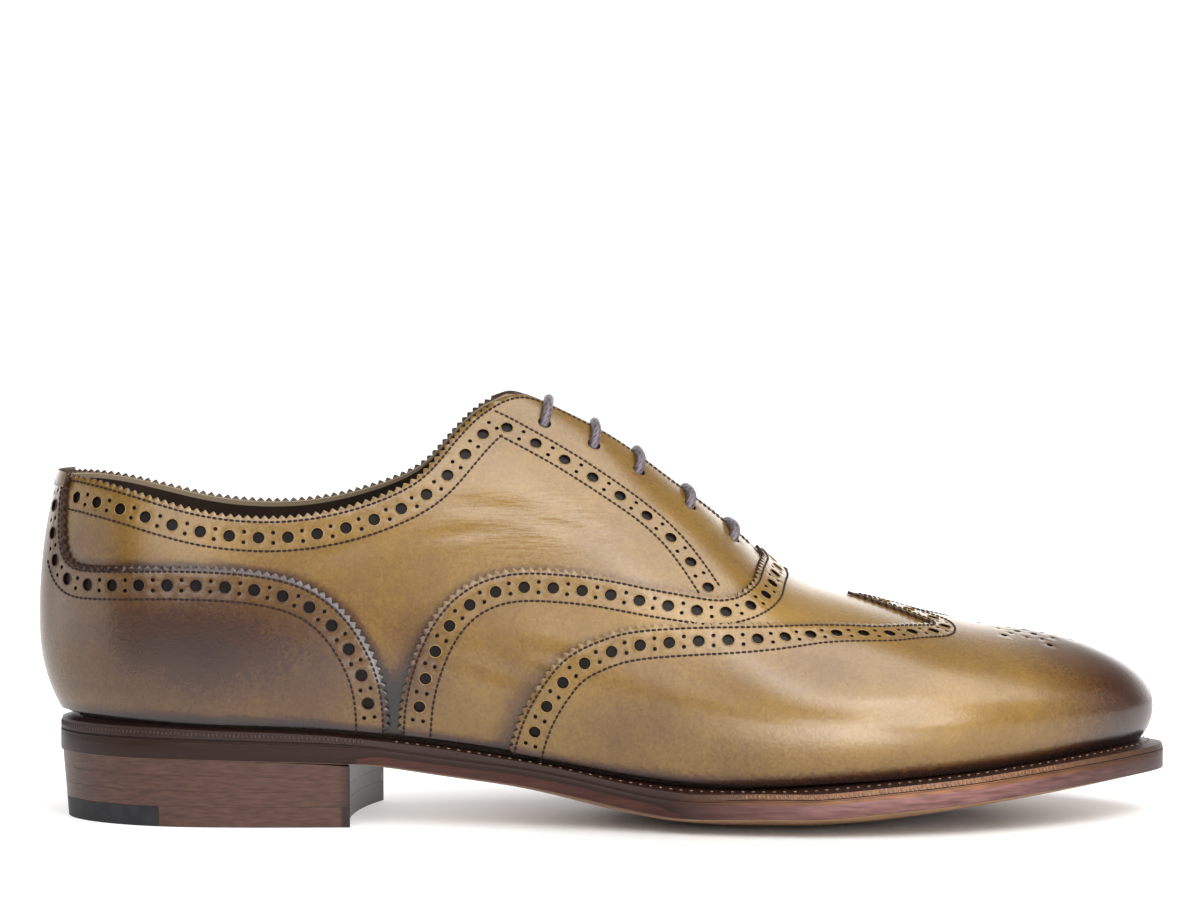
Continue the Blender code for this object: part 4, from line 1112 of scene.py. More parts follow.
def quarter_finish(side):
    def finish_of(points):
        tone = polish_and_painted_light(points)
        tone += shadow(points, front, edges["vamp", side], *VAMP_SHADOW)
        tone += shadow(points, back, edges["counter", side], *COUNTER_SHADOW)
        away = from_edge(points, back, ("topline", "turn", "slit"), (side,))
        along = (points[:, 0] - WORN_AT[0]) / WORN_REACH[0]
        above = (points[:, 2] - WORN_AT[1]) / WORN_REACH[1]
        worn = np.exp(-(along**2) - above**2)
        return finish(tone, np.maximum(away, QUARTER_EDGE), worn)

    return finish_of


panels = {}
for side_sign, side_name in ((LATERAL, "outer"), (MEDIAL, "inner")):
    panels["quarter", side_sign] = cut_panel(
        "quarter_" + side_name, back, quarter_ring(side_sign), quarter_holes[side_sign], 0.0,
        QUARTER_THICKNESS, PANEL_FINISH, quarter_finish(side_sign), QUARTER_GRID,
        QUARTER_CREASES)
print({piece.name: len(piece.data.polygons) for piece in panels.values()}, "faces")

# %% [markdown]
# ## The vamp, the wing cap and the counter
# These lie over the quarters. The vamp runs on under the wing cap, as it does on a sewn shoe, so no gap
# shows. The wing cap carries a medallion of small holes on the toe, a plain rosette here.

# %% Overlays
VAMP_LIFT, WING_LIFT, COUNTER_LIFT = 1.05, 2.0, 1.25
OVERLAY_GAP, OVERLAY_GRID = 0.05, 2.0
WING_SHADOW = (0.24, 0.06)
WING_SHADOW_X, WING_SHADOW_SHARE = (-30, 10), (1.2, 0.3)
MEDALLION = (116.0, 6.0)
ROSETTE = ((1, 0.0, 1.35), (6, 4.6, 0.95), (12, 8.6, 0.62), (6, 12.6, 0.95))
VAMP_CREASES = (
    (-27.0, 42.5, -18.0, 22.0, 4.0, 0.4),
    (-12.0, 47.5, -8.0, 20.0, 3.5, 0.25),
)
WING_CREASES = (
    (70.0, 41.0, 8.0, 34.0, 5.0, 0.22),
    (88.0, 33.0, 14.0, 26.0, 4.5, 0.16),
    (122.0, 32.0, 80.0, 12.0, 1.6, 0.05),
    (125.5, 31.0, 84.0, 12.0, 1.6, 0.05),
)


def foot_run(board, side, start, end, count=70):
    return board.flat(side, np.linspace(start, end, count), OVERLAY_FOOT)


def foot_t(board, line):
    """The t at which an edge meets the overlays' lower edge."""
    return float(board.lift(line[:1])[1][0])


def medallion():
    """Rings of round holes about a spot on the toe, measured on the leather."""
    holes = []
    for count, distance, radius in ROSETTE:
        holes += sized(hole_ring(front, MEDALLION, distance, count), radius)
    return holes


def band_holes(name):
    holes = []
    for side in SIDES:
        for kind, radius in (("holes", HOLE_RADIUS), ("pins", PINHOLE_RADIUS)):
            holes += sized(bands[name, side][kind], radius)
    return holes


vamp_edges = {side: gimped(front, edges["vamp", side], side) for side in SIDES}
wing_edges = {side: gimped(front, edges["wing", side], side) for side in SIDES}
hidden_edges = {side: own_half(front, moved(front, edges["wing", side], UNDERLAP, side), side)[::3]
                for side in SIDES}
vamp_ring = np.vstack([
    vamp_edges[LATERAL][:-1], vamp_edges[MEDIAL][::-1],
    foot_run(front, MEDIAL, foot_t(front, vamp_edges[MEDIAL]), foot_t(front, hidden_edges[MEDIAL]))[1:-1],
    hidden_edges[MEDIAL], hidden_edges[LATERAL][::-1],
    foot_run(front, LATERAL, foot_t(front, hidden_edges[LATERAL]), foot_t(front, vamp_edges[LATERAL]))[1:-1],
])
wing_ring = np.vstack([
    wing_edges[LATERAL][:-1], wing_edges[MEDIAL][::-1],
    foot_run(front, MEDIAL, foot_t(front, wing_edges[MEDIAL]), 1.0, 160)[1:],
    foot_run(front, LATERAL, 1.0, foot_t(front, wing_edges[LATERAL]), 160)[1:-1],
])


def vamp_finish(points):
    tone = polish_and_painted_light(points)
    share = np.interp(points[:, 0], WING_SHADOW_X, WING_SHADOW_SHARE)
    for side in SIDES:
        tone += share * shadow(points, front, edges["wing", side], *WING_SHADOW)
    return finish(tone, from_edge(points, front, ("vamp",)))


def wing_finish(points):
    tone = polish_and_painted_light(points, TOE_TONE)
    return finish(tone, from_edge(points, front, ("wing",)))


vamp_holes = apart(band_holes("vamp"), front)
wing_holes = apart(band_holes("wing") + medallion(), front)
panels["vamp"] = cut_panel("vamp_overlay", front, vamp_ring, vamp_holes, VAMP_LIFT,
                           VAMP_LIFT - OVERLAY_GAP, PANEL_FINISH, vamp_finish, OVERLAY_GRID,
                           VAMP_CREASES)
panels["wing"] = cut_panel("wing_cap_overlay", front, wing_ring, wing_holes,
                           WING_LIFT, WING_LIFT - VAMP_LIFT - OVERLAY_GAP, PANEL_FINISH, wing_finish,
                           OVERLAY_GRID, WING_CREASES)
print(len(panels["vamp"].data.polygons), "vamp faces,", len(panels["wing"].data.polygons), "wing faces")

# %% [markdown]
# ## The heel counter
# The counter wraps the heel and climbs the back as a narrow strip that covers the seam of the quarters. A
# small folded tab caps the strip at the topline. Both are drawn on the back board, across the middle of the
# heel.

# %% The heel counter and its strip
COUNTER_TONE, COUNTER_GRID, TAB_GRID = 0.08, 2.2, 1.2
TAB_HALF_T, TAB_HEIGHTS, TAB_THICKNESS, TAB_TONE = 0.066, (3.6, 0.5), 0.5, 0.34
counter_edges = {side: gimped(back, edges["counter", side], -side) for side in SIDES}


def top_across(half_t, count, lower=0.0):
    """The top edge across the back of the heel, from the outer to the inner side, or a little below it."""
    t = np.linspace(-half_t, half_t, count)
    sides = np.where(t < 0, LATERAL, MEDIAL)
    tops = np.array([float(top_v(side, abs(one))) for side, one in zip(sides, t)])
    return back.flat(sides, np.abs(t), tops - lower)


counter_ring = np.vstack([
    counter_edges[LATERAL][:-1], top_across(STRIP_TOP_T, 40, STRIP_LOWER),
    counter_edges[MEDIAL][::-1][1:],
    foot_run(back, MEDIAL, foot_t(back, counter_edges[MEDIAL]), 0.0)[1:],
    foot_run(back, LATERAL, 0.0, foot_t(back, counter_edges[LATERAL]))[1:-1],
])


def counter_finish(points):
    tone = polish_and_painted_light(points) + COUNTER_TONE
    return finish(tone, from_edge(points, back, ("counter",)))


def tab_ring(half_t, height, over):
    """The outline of the small folded tab that caps the strip at the topline."""
    rim = top_across(half_t, 30)
    top = moved(back, rim, -over, MEDIAL)
    foot = moved(back, rim, height, MEDIAL)
    outer_end, inner_end = np.linspace(foot[0], top[0], 6), np.linspace(top[-1], foot[-1], 6)
    return np.vstack([outer_end, top[1:-1], inner_end, foot[-2:0:-1]])


def tab_finish(points):
    return finish(np.full(len(points), TAB_TONE), np.full(len(points), UNDERLAP))


panels["tab"] = cut_panel("strip_tab", back, tab_ring(TAB_HALF_T, *TAB_HEIGHTS), [],
                          COUNTER_LIFT + TAB_THICKNESS, TAB_THICKNESS - OVERLAY_GAP, PANEL_FINISH, tab_finish,
                          TAB_GRID)
counter_holes = apart(band_holes("counter"), back)
panels["counter"] = cut_panel("heel_counter_overlay", back, counter_ring, counter_holes,
                              COUNTER_LIFT, COUNTER_LIFT - OVERLAY_GAP, COUNTER_FINISH, counter_finish,
                              COUNTER_GRID)
print(len(panels["counter"].data.polygons), "counter faces")

# %% [markdown]
# ## Lining, tongue and insole
# The lining is a second wall inside the quarters and the vamp, cut plain and a little lower than the gimped
# edge. Its colour, and the insole's, is painted dark for the shade inside the shoe, and lighter along the
# lining's top edge, where light reaches it. The tongue lies under the facings. Both are walls between two
# offsets of the last's surface.

# %% Walls inside the shoe
LINING_LIFT, LINING_THICKNESS, LINING_LOWER, LINING_EDGE = -1.05, 0.85, 0.1, 0.011
LINING_FOOT, WALL_SHARP, MERGE = -0.93, 40, 0.02
TONGUE_X, TONGUE_HALF_WIDTH, TONGUE_LIFT, TONGUE_THICKNESS = (-23.0, 50.0), 21.0, -2.7, 1.8


def merged(points, faces):
    """Joins points that fall together: the first point of each place, the faces left and their numbers."""
    _, first, index = np.unique(np.round(points / MERGE).astype(int), axis=0,
                                return_index=True, return_inverse=True)
    index = index.reshape(-1)
    kept, numbers = [], []
    for number, face in enumerate(faces):
        ring = tuple(dict.fromkeys(index[list(face)].tolist()))
        if len(ring) > 2:
            kept.append(ring)
            numbers.append(number)
    return first, kept, numbers


def wall(name, stations, heights_of, lift, thickness, materials):
    """A closed wall over both sides of the last; heights_of gives the v values of a station."""
    heights = np.array([[heights_of(side, station) for station in stations] for side in SIDES])
    rows = heights.shape[2]
    at_top = np.tile(np.arange(rows) >= rows - 2, 2 * len(stations)).astype(float)
    place = np.broadcast_arrays(np.array(SIDES)[:, None, None], stations[:, None], heights)
    place = [one.ravel() for one in place]
    base, normals = last_point(*place), last_normal(*place)
    index = np.arange(heights.size).reshape(heights.shape)
    quads = []
    for sign in (0, 1):
        grid = index[sign]
        block = np.stack([grid[:-1, :-1], grid[1:, :-1], grid[1:, 1:], grid[:-1, 1:]], axis=-1).reshape(-1, 4)
        quads.append(block if sign == 0 else block[:, ::-1])
    first, faces, _ = merged(base, np.vstack(quads))
    base, normals = base[first], normals[first]
    known = {(a, b) for face in faces for a, b in zip(face, face[1:] + face[:1])}
    count = len(base)
    every = faces + [tuple(count + k for k in reversed(face)) for face in faces]
    every += [(b, a, count + a, count + b) for a, b in known if (b, a) not in known]
    points = np.vstack([base + lift * normals, base + (lift - thickness) * normals])
    # The top rows are marked as the edge, which the lining's material paints lighter where light reaches it;
    # the rest is painted shade.
    marks = {"burnish_and_painted_light": np.full(2 * count, BASE_TONE + 0.1), "from_edge": np.full(2 * count, UNDERLAP),
             "edge": np.tile(at_top[first], 2)}
    piece = new_piece(name, points, every, materials, marks=marks)
    piece.data.set_sharp_from_angle(angle=math.radians(WALL_SHARP))
    return piece


def lining_heights(side, t):
    top = float(top_v(side, t))
    if top < 1:
        section = section_lengths(np.array([side]), np.array([t]))[0]
        top -= LINING_LOWER * 2 / section[-1]
    return np.append(np.linspace(LINING_FOOT, top - LINING_EDGE * 1.2, 24), (top - LINING_EDGE, top))


def tongue_heights(side, t):
    return np.linspace(float(v_at_reach(side, t, TONGUE_HALF_WIDTH)), 1, 12)


throat_t = float(t_at_spine(THROAT_X))
lining_t = np.concatenate([np.linspace(0, throat_t - 0.001, 90), np.linspace(throat_t + 0.001, 1, 50)])
tongue_t = np.linspace(*t_at_spine(np.array(TONGUE_X)), 40)
lining = wall("lining", lining_t, lining_heights, LINING_LIFT, LINING_THICKNESS, [lining_leather])
tongue = wall("tongue_leather", tongue_t, tongue_heights, TONGUE_LIFT, TONGUE_THICKNESS, [calf_leather])
print(len(lining.data.polygons), "lining faces,", len(tongue.data.polygons), "tongue faces")

# %% [markdown]
# ## Rows made with Geometry Nodes
# A brogue holds some two thousand stitches, and hundreds of punched rims and wheel marks. Each is one small
# shape set out along a row. A point carries the direction of its row and the way up, the tree turns those
# two into a rotation and sets an instance there, and the instances are made real at the end because the
# export needs meshes.

# %% The row tree
ROW_SIZES = ("length", "width", "height")


def row_tree(name, rim):
    """A node group that sets a pill, or a rim of a given radius, on every point of a row."""
    tree = bpy.data.node_groups.new(name, "GeometryNodeTree")
    tree.interface.new_socket("points", in_out="INPUT", socket_type="NodeSocketGeometry")
    for size in ROW_SIZES:
        tree.interface.new_socket(size, in_out="INPUT", socket_type="NodeSocketFloat")
    tree.interface.new_socket("finish", in_out="INPUT", socket_type="NodeSocketMaterial")
    tree.interface.new_socket("pieces", in_out="OUTPUT", socket_type="NodeSocketGeometry")
    given = node(tree, "NodeGroupInput").outputs
    if rim:
        circle = node(tree, "GeometryNodeCurvePrimitiveCircle", {"Resolution": 14, "Radius": given["length"]})
        section = node(tree, "GeometryNodeCurvePrimitiveCircle", {"Resolution": 4, "Radius": given["width"]})
        bent = {"Curve": circle.outputs["Curve"], "Profile Curve": section.outputs["Curve"]}
        shape = node(tree, "GeometryNodeCurveToMesh", bent).outputs["Mesh"]
    else:
        ball = node(tree, "GeometryNodeMeshUVSphere", {"Segments": 6, "Rings": 4, "Radius": 0.5})
        sizes = node(tree, "ShaderNodeCombineXYZ", {k: given[size] for k, size in enumerate(ROW_SIZES)})
        shape = node(tree, "GeometryNodeTransform",
                     {"Geometry": ball.outputs["Mesh"], "Scale": sizes.outputs["Vector"]}).outputs["Geometry"]
    ways = []
    for way in ("up", "along"):
        ways.append(node(tree, "GeometryNodeInputNamedAttribute", {"Name": way}, data_type="FLOAT_VECTOR"))
    turn = node(tree, "FunctionNodeAxesToRotation", primary_axis="Z", secondary_axis="X")
    for number, way in enumerate(ways):
        tree.links.new(way.outputs["Attribute"], turn.inputs[number])
    placed = node(tree, "GeometryNodeInstanceOnPoints", {
        "Points": given["points"], "Instance": shape, "Rotation": turn.outputs["Rotation"]})
    real = node(tree, "GeometryNodeRealizeInstances", {"Geometry": placed.outputs["Instances"]})
    smooth = node(tree, "GeometryNodeSetShadeSmooth", {"Geometry": real.outputs["Geometry"]})
    dressed = node(tree, "GeometryNodeSetMaterial",
                   {"Geometry": smooth.outputs["Geometry"], "Material": given["finish"]})
    node(tree, "NodeGroupOutput", {"pieces": dressed.outputs["Geometry"]})
    return tree


pill_tree = row_tree("pills_in_a_row", rim=False)
rim_tree = row_tree("rims_on_holes", rim=True)


def set_out(name, tree, points, along, up, sizes, finish):
    """The tree's shapes on points, as a plain mesh object; sizes and points are in millimetres."""
    mesh = bpy.data.meshes.new(name)
    mesh.from_pydata((np.asarray(points) * MM).tolist(), [], [])
    for label, ways in (("along", along), ("up", up)):
        field = mesh.attributes.new(label, "FLOAT_VECTOR", "POINT")
        field.data.foreach_set("vector", np.asarray(ways, np.float32).ravel())
    row = bpy.data.objects.new(name + "_points", mesh)
    bpy.context.scene.collection.objects.link(row)
    modifier = row.modifiers.new("row", "NODES")
    modifier.node_group = tree
    values = dict(zip(ROW_SIZES, (size * MM for size in sizes)))
    values["finish"] = finish
    for socket in tree.interface.items_tree:
        if socket.in_out == "INPUT" and socket.name in values:
            modifier[socket.identifier] = values[socket.name]
    evaluated = row.evaluated_get(bpy.context.evaluated_depsgraph_get())
    made = bpy.data.objects.new(name, bpy.data.meshes.new_from_object(evaluated))
    bpy.data.objects.remove(row)
    bpy.context.scene.collection.objects.link(made)
    return made


print("row trees:", len(pill_tree.nodes), "and", len(rim_tree.nodes), "nodes")

# %% [markdown]
# ## Stitches and punched rims
# A lockstitch shows as short dark bars that sink a little into the calf. A punch leaves a faint raised rim.
# Both are placed on the rows of the bands, at the height of the panel that they belong to.

# %% Stitches on the panels
STITCH_SIZE = (1.46, 0.72, 0.56)
RIM_WIDTH, RIM_OUT, RIM_LIFT = 0.14, 0.08, 0.02
STITCH_LIFT, STRIP_BARE = 0.06, 0.4
BAND_LIFT = {"wing": (front, WING_LIFT), "vamp": (front, VAMP_LIFT), "counter": (back, COUNTER_LIFT),
             "topline": (back, 0.0), "facing": (back, 0.0), "rim": (back, 0.0)}


def row_on(board, row, lift):
    """Points, directions and normals of a row, at a height over the last."""
    points, normals = lay(board, row)
    return points + normals * lift, unit(np.gradient(points, axis=0)), normals


def joined(rows):
    return [np.vstack(column) for column in zip(*rows)]


stitch_rows = {name: [] for name in BAND_LIFT}
for (name, side_sign), made in bands.items():
    board, lift = BAND_LIFT[name]
    for row in made["stitches"]:
        if name == "counter":
            row = row[np.abs(row[:, 0]) > STRIP_BARE * STRIP_TOP_T * BACK_SCALE]
        stitch_rows[name].append(row_on(board, row, lift + STITCH_LIFT))
stitches = {name: set_out(name + "_stitches", pill_tree, *joined(rows), STITCH_SIZE, thread)
            for name, rows in stitch_rows.items()}
punched = {"quarters": (back, 0.0, quarter_holes[LATERAL] + quarter_holes[MEDIAL]),
           "vamp": (front, VAMP_LIFT, vamp_holes), "wing": (front, WING_LIFT, wing_holes),
           "counter": (back, COUNTER_LIFT, counter_holes)}
rims = {}
for name, (board, lift, holes) in punched.items():
    spots = np.array([spot for spot, radius in holes if radius == HOLE_RADIUS])
    points, normals = lay(board, spots)
    along = np.cross(normals, [0.0, 0.0, 1.0])
    rims[name] = set_out(name + "_rims", rim_tree, points + normals * (lift + RIM_LIFT), along, normals,
                         (HOLE_RADIUS + RIM_OUT, RIM_WIDTH, 0.0),
                         dark_rim if name == "counter" else calf_leather)
sewn = {piece.name: len(piece.data.polygons) for piece in (*stitches.values(), *rims.values())}
print(sewn, "faces")

# %% [markdown]
# ## The welted sole
# Under the upper runs a welt, a strip of leather sewn to the outsole. Its rim is pressed with a fudge wheel
# that leaves close ticks, and its top carries the sole's stitches. The outsole's edge is dyed dark and
# waxed, its lower corner is left lighter, and through the waist it is bevelled.

# %% Tables and surfaces of the sole
SOLE = (
    ("x", "lateral", "medial", "tread_z", "crown"),
    (-148.0, 0.0, 0.0, 18.3, 0.0),
    (-136.0, -21.2, 21.2, 18.3, 0.0),
    (-121.0, -28.8, 28.8, 18.3, 0.0),
    (-105.0, -31.6, 31.6, 18.2, 0.0),
    (-85.0, -32.0, 31.2, 17.6, 0.1),
    (-64.0, -31.6, 28.4, 16.2, 0.6),
    (-42.0, -32.4, 24.8, 12.9, 1.2),
    (-20.0, -35.6, 24.2, 9.4, 2.1),
    (0.0, -40.2, 28.0, 4.7, 3.1),
    (20.0, -45.8, 35.8, 1.2, 3.3),
    (36.0, -49.8, 43.0, 0.0, 4.7),
    (56.0, -52.3, 50.0, 0.0, 5.0),
    (76.0, -51.2, 52.4, 1.3, 5.3),
    (97.0, -45.8, 50.4, 4.1, 4.2),
    (119.0, -34.6, 42.6, 7.2, 3.1),
    (135.0, -23.0, 32.6, 9.6, 1.9),
    (146.0, -11.0, 22.2, 11.3, 0.7),
    (154.5, 6.0, 6.0, 12.2, 0.0),
)
SOLE_EDGE = (
    ("x", "bevel_in", "bevel_up"),
    (-148.0, 0.5, 0.8), (-70.0, 0.5, 0.8), (-60.0, 3.6, 2.9), (14.0, 3.6, 2.9), (22.0, 0.5, 0.8),
    (154.5, 0.5, 0.8),
)
OUTSOLE_THICKNESS, TREAD_FLAT, EDGE_BULGE = 4.7, 0.35, 0.3
WELT_SLOPE, WELT_INNER, SEAT_GAP = 0.17, 2.4, 0.1
sole = Outline(SOLE)
tread_z, crown = sole.along("tread_z"), sole.along("crown")
sole_edge = columns(SOLE_EDGE)


def sole_share(x, y):
    """Where y lies across the sole: -1 at its outer edge, 1 at its inner edge."""
    t = sole.t_at(x)
    return 2 * (y - sole.lateral(t)) / np.maximum(sole.medial(t) - sole.lateral(t), 1e-6) - 1


def sole_bottom(x, share):
    beyond = np.clip((np.abs(share) - TREAD_FLAT) / (1 - TREAD_FLAT), 0, 1)
    return np.maximum(tread_z(x), 0) + crown(x) * beyond**2


def outsole_top(x, y):
    return sole_bottom(x, np.clip(sole_share(x, y), -1, 1)) + OUTSOLE_THICKNESS


def face_outwards(piece):
    """Turns all faces of a closed piece outwards."""
    shape = bmesh.new()
    shape.from_mesh(piece.data)
    bmesh.ops.recalc_face_normals(shape, faces=shape.faces)
    shape.to_mesh(piece.data)
    shape.free()


def loft(name, rings, kind_of, materials, closed=False, marks=None, sharp=30):
    """Rings of points joined one to the next; kind_of gives the material by ring and place on the ring."""
    rings = np.asarray(rings, float)
    count, size = rings.shape[:2]
    faces, face_kinds = [], []
    for i in range(count if closed else count - 1):
        here, there = i * size, (i + 1) % count * size
        for k in range(size):
            after = (k + 1) % size
            faces.append((here + k, here + after, there + after, there + k))
            face_kinds.append(kind_of(i, k))
    points = rings.reshape(-1, 3)
    first, kept, numbers = merged(points, faces)
    kept_kinds = [face_kinds[number] for number in numbers]
    marks = {label: np.asarray(values).reshape(-1)[first] for label, values in (marks or {}).items()}
    piece = new_piece(name, points[first], kept, materials, None, kept_kinds, marks)
    face_outwards(piece)
    piece.data.set_sharp_from_angle(angle=math.radians(sharp))
    return piece


broad = float(np.ptp([sole.lateral(0.6), sole.medial(0.6)]))
print("sole:", round(sole.length, 1), "mm long,", round(broad, 1), "mm broad")

# %% [markdown]
# ## Finishes of the sole
# Sole leather is cut from thick hide, so its edge shows fine streaks. The waist and the heel are stained a
# deep red brown all over, and only round the forefoot do the welt's rim and the scraped lower edge stay
# tan. An attribute carries that stain along the shoe. The heel's lifts show their fibres as level streaks.

# %% Finishes of the sole
STAIN_X, STAIN_SHARE = (18.0, 62.0, 100.0, 125.0, 150.0), (1.0, 0.1, 0.0, 0.5, 0.85)
STAIN, STREAKS = "#23120D", (0.12, 0.12, 1.0)


def stain_of(points):
    return {"stain": np.interp(np.asarray(points)[..., 0], STAIN_X, STAIN_SHARE)}


outsole_leather = plain("oak_bark_sole_leather", "#8C6A4E", "#A5805E", 9.0, 0.6)
edge_wax = plain("dyed_and_waxed_sole_edge", "#573937", "#7D5955", 0.9, 0.4, 0.22, 0.06, STREAKS,
                 ("stain", STAIN))
light_edge = plain("scraped_lower_edge", "#3E2D26", "#5C473E", 1.5, 0.45, 0.2, 0.05, STREAKS,
                   ("stain", "#6A5346"))
waist_wax = plain("waxed_waist_bevel", "#321A14", "#4B2A22", 0.9, 0.4, 0.2, 0.06, STREAKS)
welt_top_leather = plain("stained_welt", "#1D0F0A", "#301A13", 1.2, 0.45, 0.25, 0.06)
welt_rim_leather = plain("wheeled_welt_rim", "#573A28", "#7C583B", 1.0, 0.45, 0.3, 0.05,
                         blend=("stain", STAIN))
welt_edge_leather = plain("tan_welt_edge", "#5F3F2D", "#835A3E", 1.0, 0.42, 0.18, 0.05, STREAKS,
                          ("stain", STAIN))
groove_wax = plain("dark_groove", "#1C1412", "#2B1F1B", 3.0, 0.7, 0.1)
sole_thread = plain("pale_sole_thread", "#5A4838", "#846F5B", 1.5, 0.6, 0.2)
seat_leather = plain("wheeled_heel_seat", "#23130F", "#382019", 1.5, 0.4, 0.3)
stack_leather = plain("stacked_heel_leather", "#342019", "#4E342A", 0.6, 0.4, 0.35, 0.06, (0.14, 0.14, 1.0),
                      ("stain", "#1D1210"))
rubber = plain("moulded_rubber", "#121114", "#1E1D20", 3.0, 0.6)
print("sole finishes stained from x", STAIN_X[0], "mm back")

# %% [markdown]
# ## Outsole and welt
# Both are lofted. The outsole is a ring across the shoe, carried from heel to toe: tread, bevel, bulging
# edge and top. The welt is a small ring carried round the shoe: a rim with a groove, a top that slopes up
# to the leather, and a part hidden under it. Through the waist the edge is bevelled and the groove fades
# out.

# %% Outsole and welt
ACROSS = np.linspace(-1, 1, 25)
EDGE_STEPS = np.array([0.25, 0.5, 0.75])
ARRIS = 0.16
WAIST_X, WELT_WAIST_X = (-66, 19), (-60, 32)
GROOVE_X, GROOVE_SHARE = (-63, -57, 26, 38), (1, 0, 0, 1)
WELT_RISE, WELT_DROP = 1.9, 0.1


def outsole_ring(t):
    x, outer = (float(c) for c in sole.edge(LATERAL, t))
    inner = float(sole.edge(MEDIAL, t)[1])
    bevel_in = np.interp(x, sole_edge["x"], sole_edge["bevel_in"])
    bevel_up = np.interp(x, sole_edge["x"], sole_edge["bevel_up"])
    breadth = inner - outer
    narrow = min(bevel_in / max(breadth, 1e-6), 0.45)
    full = outer + breadth * (ACROSS + 1) / 2
    cut = outer + breadth * (narrow + (1 - 2 * narrow) * (ACROSS + 1) / 2)
    low = sole_bottom(x, sole_share(np.full(len(cut), x), cut))
    high = sole_bottom(x, ACROSS) + OUTSOLE_THICKNESS
    edge_low = sole_bottom(x, 1.0) + bevel_up
    rise = edge_low + (high[0] - edge_low) * EDGE_STEPS
    bulge = EDGE_BULGE * 4 * EDGE_STEPS * (1 - EDGE_STEPS) * min(breadth / 20, 1)
    arris = [(x, y + (rim - y) * ARRIS, z + (edge_low - z) * ARRIS)
             for y, rim, z in ((cut[-1], inner, low[-1]), (cut[0], outer, low[0]))]
    ring = [(x, y, z) for y, z in zip(cut, low)] + [arris[0], (x, inner, edge_low)]
    ring += [(x, inner + out, z) for out, z in zip(bulge, rise)]
    ring += [(x, y, z) for y, z in zip(full[::-1], high[::-1])]
    ring += [(x, outer - out, z) for out, z in zip(bulge[::-1], rise[::-1])]
    return ring + [(x, outer, edge_low), arris[1]]


sole_t = np.linspace(0, 1, 150)
last_bottom = len(ACROSS) - 1
side_start, top_start = last_bottom + 2, last_bottom + 2 + len(EDGE_STEPS) + 1
top_end = top_start + last_bottom
ring_size = 2 * len(ACROSS) + 2 * len(EDGE_STEPS) + 4


def outsole_kind(i, k):
    """0 tread and top, 1 waxed edge, 2 scraped lower edge, 3 bevelled waist, 4 strip under the welt."""
    waist = WAIST_X[0] < sole.edge(LATERAL, sole_t[i])[0] < WAIST_X[1]
    if k in (last_bottom, ring_size - 1):
        return 2
    if k in (last_bottom + 1, ring_size - 2):
        return 3 if waist else 1
    if k in (top_start - 1, top_end):
        return 4
    if side_start <= k < top_start or top_end <= k:
        return 1
    return 0


outsole_rings = np.array([outsole_ring(t) for t in sole_t])
outsole = loft("outsole_leather", outsole_rings, outsole_kind,
               [outsole_leather, edge_wax, light_edge, waist_wax, welt_edge_leather],
               marks=stain_of(outsole_rings))

WELT_T = np.linspace(0, 1, 150)
around = [(LATERAL, t) for t in WELT_T] + [(MEDIAL, t) for t in WELT_T[-2:0:-1]]
RIM_STEPS = ((0.0, 0.0), (0.16, 0.0), (0.18, 0.3), (0.28, 0.3), (0.3, 0.0), (1.0, 0.45))


def welt_section(side, t):
    """The welt's ring at one place: rim from below, top up to the upper, and the part hidden under it."""
    foot = last_point(side, t, -1.0)
    outer = np.array([float(c) for c in sole.edge(side, t)])
    spine_point = np.array([float(c) for c in spine(t)])
    towards = unit(spine_point - foot[:2])
    inner = foot[:2] + towards * WELT_INNER
    ledge = foot[2] - SEAT_GAP
    fall = WELT_SLOPE * np.linalg.norm(outer - foot[:2])
    low = float(sole_bottom(outer[0], 1.0)) + OUTSOLE_THICKNESS + SEAT_GAP
    high = min(max(ledge - fall, low + WELT_RISE), ledge - WELT_DROP)
    in_way = unit(foot[:2] - outer)
    groove = np.interp(outer[0], GROOVE_X, GROOVE_SHARE)
    ring = [(*(outer + in_way * inset * (1 if share == 1 else groove)), low + (high - low) * share)
            for share, inset in RIM_STEPS]
    ring += [(foot[0], foot[1], ledge), (*inner, ledge), (*inner, float(outsole_top(*inner)) + SEAT_GAP)]
    return ring + [(foot[0], foot[1], float(outsole_top(foot[0], foot[1])) + SEAT_GAP)]


def welt_kind(i, k):
    """0 rim below the groove, 1 wheeled rim, 2 top and hidden faces, 3 groove, which the waist lacks."""
    if k >= len(RIM_STEPS) - 1:
        return 2
    waist = WELT_WAIST_X[0] < welt_rings[i, 0, 0] < WELT_WAIST_X[1]
    return (0, 0, 0, 0, 1)[k] if waist else (0, 3, 3, 3, 1)[k]


welt_rings = np.array([welt_section(side, t) for side, t in around])
welt = loft("welt_leather", welt_rings, welt_kind,
            [welt_edge_leather, welt_rim_leather, welt_top_leather, groove_wax], closed=True,
            marks=stain_of(welt_rings))
print(len(outsole.data.polygons), "outsole faces,", len(welt.data.polygons), "welt faces")

# %% [markdown]
# ## Welt stitches and wheel marks
# The stitches that hold the sole sit in the middle of the welt's top, from the waist round the toe. The wheel
# marks cover the rim round the forefoot, and seat marks go round the heel. Both rows follow the welt's own
# rings, divided evenly by length.

# %% Rows on the welt
WELT_STITCH_PITCH, WHEEL_PITCH = 2.8, 1.15
RIM_LOW, RIM_TOP, LEDGE = 4, 5, 6
WELT_STITCH_ACROSS, WELT_STITCH_LIFT, WHEEL_UP = 0.42, 0.1, 0.5
WELT_STITCH_FROM, WHEEL_FROM, WHEEL_TO, SEAT_TO = -56.0, 38.0, 122.0, -64.0
WELT_STITCH_SIZE, WHEEL_SIZE, SEAT_SIZE = (1.05, 0.42, 0.32), (1.5, 0.66, 0.42), (1.5, 0.8, 0.4)


